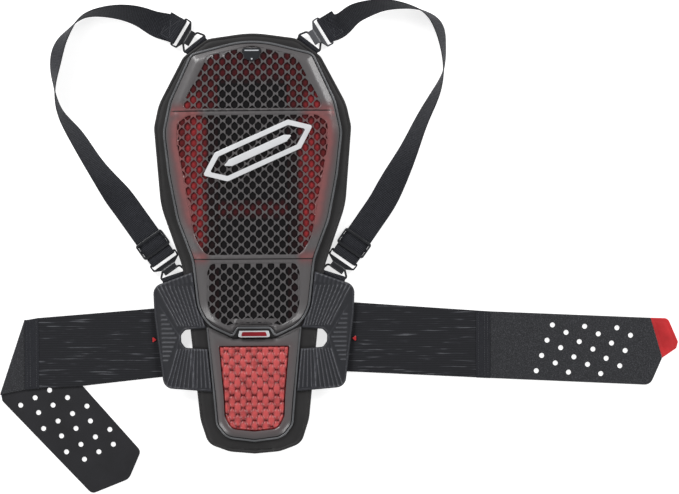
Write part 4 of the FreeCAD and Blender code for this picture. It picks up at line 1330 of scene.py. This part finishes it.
def patch(name, upper, lower, rows, low, thick, ribs=0.0, columns=60):
    """Cloth between two edges, its ribs running along it; low gives the underside by x."""
    upper, lower = np.array(upper, float), np.array(lower, float)
    share = np.linspace(0, 1, columns + 1)

    def spread(edge):
        ways = np.concatenate([[0], np.cumsum(np.linalg.norm(np.diff(edge, axis=0), axis=1))])
        return np.stack([np.interp(share * ways[-1], ways, edge[:, i]) for i in (0, 1)], axis=1)

    high_edge, low_edge = spread(upper), spread(lower)
    verts, uvs = [], []
    for face in (1, 0):
        for row in range(rows + 1):
            part = row / rows
            line = high_edge * (1 - part) + low_edge * part
            hem = min(part, 1 - part) * rows
            rib = ribs * (1 if row % 2 else -1) * min(1, hem)
            round_off = 0.5 * max(0, 1 - hem / 2) ** 2
            for x, y in line:
                z = low(x)
                z += thick - round_off + rib if face else round_off * 0.6
                verts.append(world(x, y, z))
                uvs.append((x * MM, y * MM))
    width = columns + 1
    half = width * (rows + 1)
    faces = []
    for row in range(rows):
        for c in range(columns):
            a = row * width + c
            faces.append((a, a + width, a + width + 1, a + 1))
            faces.append((half + a, half + a + 1, half + a + width + 1, half + a + width))
    border = [c for c in range(width)]
    border += [row * width + columns for row in range(1, rows + 1)]
    border += [rows * width + c for c in range(columns - 1, -1, -1)]
    border += [row * width for row in range(rows - 1, 0, -1)]
    for here, there in zip(border, border[1:] + border[:1]):
        faces.append((here, there, half + there, half + here))
    thing = make_object(name, verts, faces, sharp=50)
    set_uv(thing, uvs)
    return thing


def plate(name, corners, low, high, holes=(), spacing=6.0, edge=0.6, weave=0.0):
    """Flat cloth or rubber cut to a rounded outline, with punched holes and a soft edge."""
    round_holes = []
    for x, y in holes:
        angles = np.linspace(0, 2 * math.pi, 18, endpoint=False)
        round_holes.append(np.stack([x + HOLE_RADIUS * np.cos(angles),
                                     y + HOLE_RADIUS * np.sin(angles)], axis=1))
    brims = [inset(hole, -0.7) for hole in round_holes]

    def top(spots, gap):
        ripple = np.sin(spots[:, 0] / 31) * np.cos(spots[:, 1] / 23)
        line = weave * np.exp(-((gap - 4.5) / 1.2) ** 2)
        return high - 0.1 + 0.1 * weave * ripple - line

    rings = (3.3, 4.5, 5.7) if weave else ()
    thing = closed_slab(name, rounded(corners, 2), top, level(low), spacing, edge=edge,
                        holes=round_holes, brims=brims, lip=0.35 if holes else 0, rings=rings)
    flat_uv(thing, (1, 0), (0, 1))
    return thing


def left_low(x):
    """Underside of the left belt, which climbs on to its folded tail."""
    return float(np.interp(x, *zip(*LEFT_BELT_RISE)))


def belts():
    """Elastic, seam bands, folded left tail, long right tail and pull tab."""
    elastic = patch("left_elastic_web", [(-303, -92.8), (-108, -78.3)],
                    [(-303, -191), (-240, -188.2), (-108, -174.5)],
                    ELASTIC_ROWS, left_low, ELASTIC_THICK, RIB_DEPTH)
    dress(elastic, "belt_elastic", "belt_elastic", "left_belt", "left_belt_elastic")
    elastic = patch("right_elastic_web", [(108, -71.8), (311.5, -87)],
                    [(108, -169.8), (311.5, -180.8)],
                    ELASTIC_ROWS, lambda x: 0.0, ELASTIC_THICK, RIB_DEPTH)
    dress(elastic, "belt_elastic", "belt_elastic", "right_belt", "right_belt_elastic")
    for hand, upper, lower, lift, flat in (
            ("left", [(-321, -95.8), (-301.5, -92.6)], [(-321, -192.6), (-301.5, -191.2)],
             FOLD_LIFT, (0.0195, 0.098)),
            ("right", [(310, -86.9), (329.6, -88.3)], [(310, -181), (329.6, -182)],
             0.0, (0.0196, 0.094))):
        band = patch(f"{hand}_seam_band", upper, lower, BAND_ROWS, lambda x: lift, BAND_THICK,
                     columns=12)
        dress(band, "belt_band", "belt_band", f"{hand}_belt", f"{hand}_belt_band")
    for hand, places, top, end, z in (("left", (-318, -313.5, -305), -96.5, -190.5, 5.1),
                                      ("right", (313.5, 322, 326.5), -89.5, -180, 2.85)):
        rows = stitches(f"{hand}_band_stitches", [((x, top, z), (x, end, z)) for x in places])
        dress(rows, "thread", "belt_band", f"{hand}_belt")
    root = plate("left_root_flap", LEFT_ROOT, FOLD_LIFT, 4.3)
    (x0, y0), (x1, y1) = CREASE
    roll = tube("left_fold_roll", [(x0 + (x1 - x0) * k / 30, y0 + (y1 - y0) * k / 30, 2.15)
                                   for k in range(31)], 2.1, closed=False, sides=14)
    dress(join("left_root_fold", [root, roll]), "belt_loop", "belt_loop", "left_belt",
          "left_belt_root")
    tail = plate("left_tail_loop", LEFT_TAIL, 0.0, TAIL_THICK,
                 LEFT_HOLES[:HIDDEN_HOLE] + LEFT_HOLES[HIDDEN_HOLE + 1:], weave=0.25)
    dress(tail, "tail_back", "belt_loop", "left_tail", "left_belt_tail")
    tail = plate("right_tail_loop", RIGHT_TAIL, 0.0, TAIL_THICK, RIGHT_HOLES, weave=0.25)
    dress(tail, "belt_loop", "belt_loop", "right_belt", "right_belt_tail")
    tab = plate("right_pull_tab_looks", PULL_TAB, 0.0, 2.1, edge=0.9, weave=0.5, spacing=3)
    dress(tab, "tab_red", "tab_red", "right_belt", "right_pull_tab")
    for side in (LEFT, RIGHT):
        hand = HAND[side]
        pointer = plate(f"{hand}_pointer_looks", flip(POINTER, side), 2.2, 4.0, edge=0.8,
                        spacing=1.5)
        dress(pointer, "tab_red", "tab_red", f"{hand}_belt", f"{hand}_belt_pointer")


def fastening_pads():
    """Hook pads under the wings, with their field of small hooks."""
    for side in (LEFT, RIGHT):

        def under(spots, gap):
            x = np.abs(spots[:, 0])
            return wing_under(x) - 0.1

        def low(spots, gap):
            x, y = spots[:, 0], spots[:, 1]
            return 2.75 + 0.35 * (np.sin(x * 2.1) * np.sin(y * 2.1) > 0.2)

        hand = HAND[side]
        pad = closed_slab(f"{hand}_hook_pad", rounded(flip(WING_PAD, side)), under, low, 1.6,
                          edge=0)
        dress(pad, "eva_black", "eva_black", f"{hand}_wing", f"{hand}_wing_fastening_pad")


# ------------------------------------------------------------------ room

PHOTO_LENS, PHOTO_SENSOR = 150.0, 36.0
PHOTO_WIDTH = 950.6            # millimetres across the picture, at the floor
PHOTO_MIDDLE, PHOTO_TURN = (120.15, 3.26), 0.45
FLOOR_LOW, FLOOR_GLOW, SKY_STRENGTH = -0.3, 0.7, 0.12
LAMP_SIZE = 0.9
LAMPS = {"key": ((-1.3, 1.5, 1.25), 30), "fill": ((1.6, 1.2, 1.2), 24),
         "low_left": ((-1.7, -1.2, 1.0), 16), "low_right": ((1.5, -1.5, 1.0), 16)}


def room():
    """Pale floor, soft lights and a camera straight above, as in the photograph."""
    bpy.ops.mesh.primitive_plane_add(size=12, location=world(*PHOTO_MIDDLE, FLOOR_LOW))
    floor = bpy.context.object
    floor.name = "floor"
    floor.data.materials.append(FINISH["floor"])
    shader = FINISH["floor"].node_tree.nodes["Principled BSDF"]
    shader.inputs["Emission Color"].default_value = (1, 1, 1, 1)
    shader.inputs["Emission Strength"].default_value = FLOOR_GLOW
    middle = world(*PHOTO_MIDDLE)
    for name, (offset, power) in LAMPS.items():
        data = bpy.data.lights.new(name, "AREA")
        data.energy = power
        data.size = LAMP_SIZE
        lamp = bpy.data.objects.new(name, data)
        bpy.context.scene.collection.objects.link(lamp)
        lamp.location = middle + Vector(offset)
        lamp.rotation_euler = (middle - lamp.location).to_track_quat("-Z", "Y").to_euler()
    sky = bpy.data.worlds.new("sky")
    sky.use_nodes = True
    backdrop = sky.node_tree.nodes["Background"]
    backdrop.inputs["Color"].default_value = (1, 1, 1, 1)
    backdrop.inputs["Strength"].default_value = SKY_STRENGTH
    bpy.context.scene.world = sky
    bpy.context.scene.view_settings.view_transform = "Standard"
    data = bpy.data.cameras.new("camera")
    data.lens, data.sensor_width = PHOTO_LENS, PHOTO_SENSOR
    data.clip_end = 20
    camera = bpy.data.objects.new("camera", data)
    bpy.context.scene.collection.objects.link(camera)
    camera.location = middle + Vector((0, 0, PHOTO_LENS * PHOTO_WIDTH * MM / PHOTO_SENSOR))
    camera.rotation_euler = (0, 0, math.radians(-PHOTO_TURN))
    bpy.context.scene.camera = camera


foam_cover()
quilted_liner()
main_shell()
shell_edges()
cores()
coccyx_plate()
trim()
for side in (LEFT, RIGHT):
    wing(side)
    buckles(side)
    shoulder_strap(side)
belts()
fastening_pads()
room()
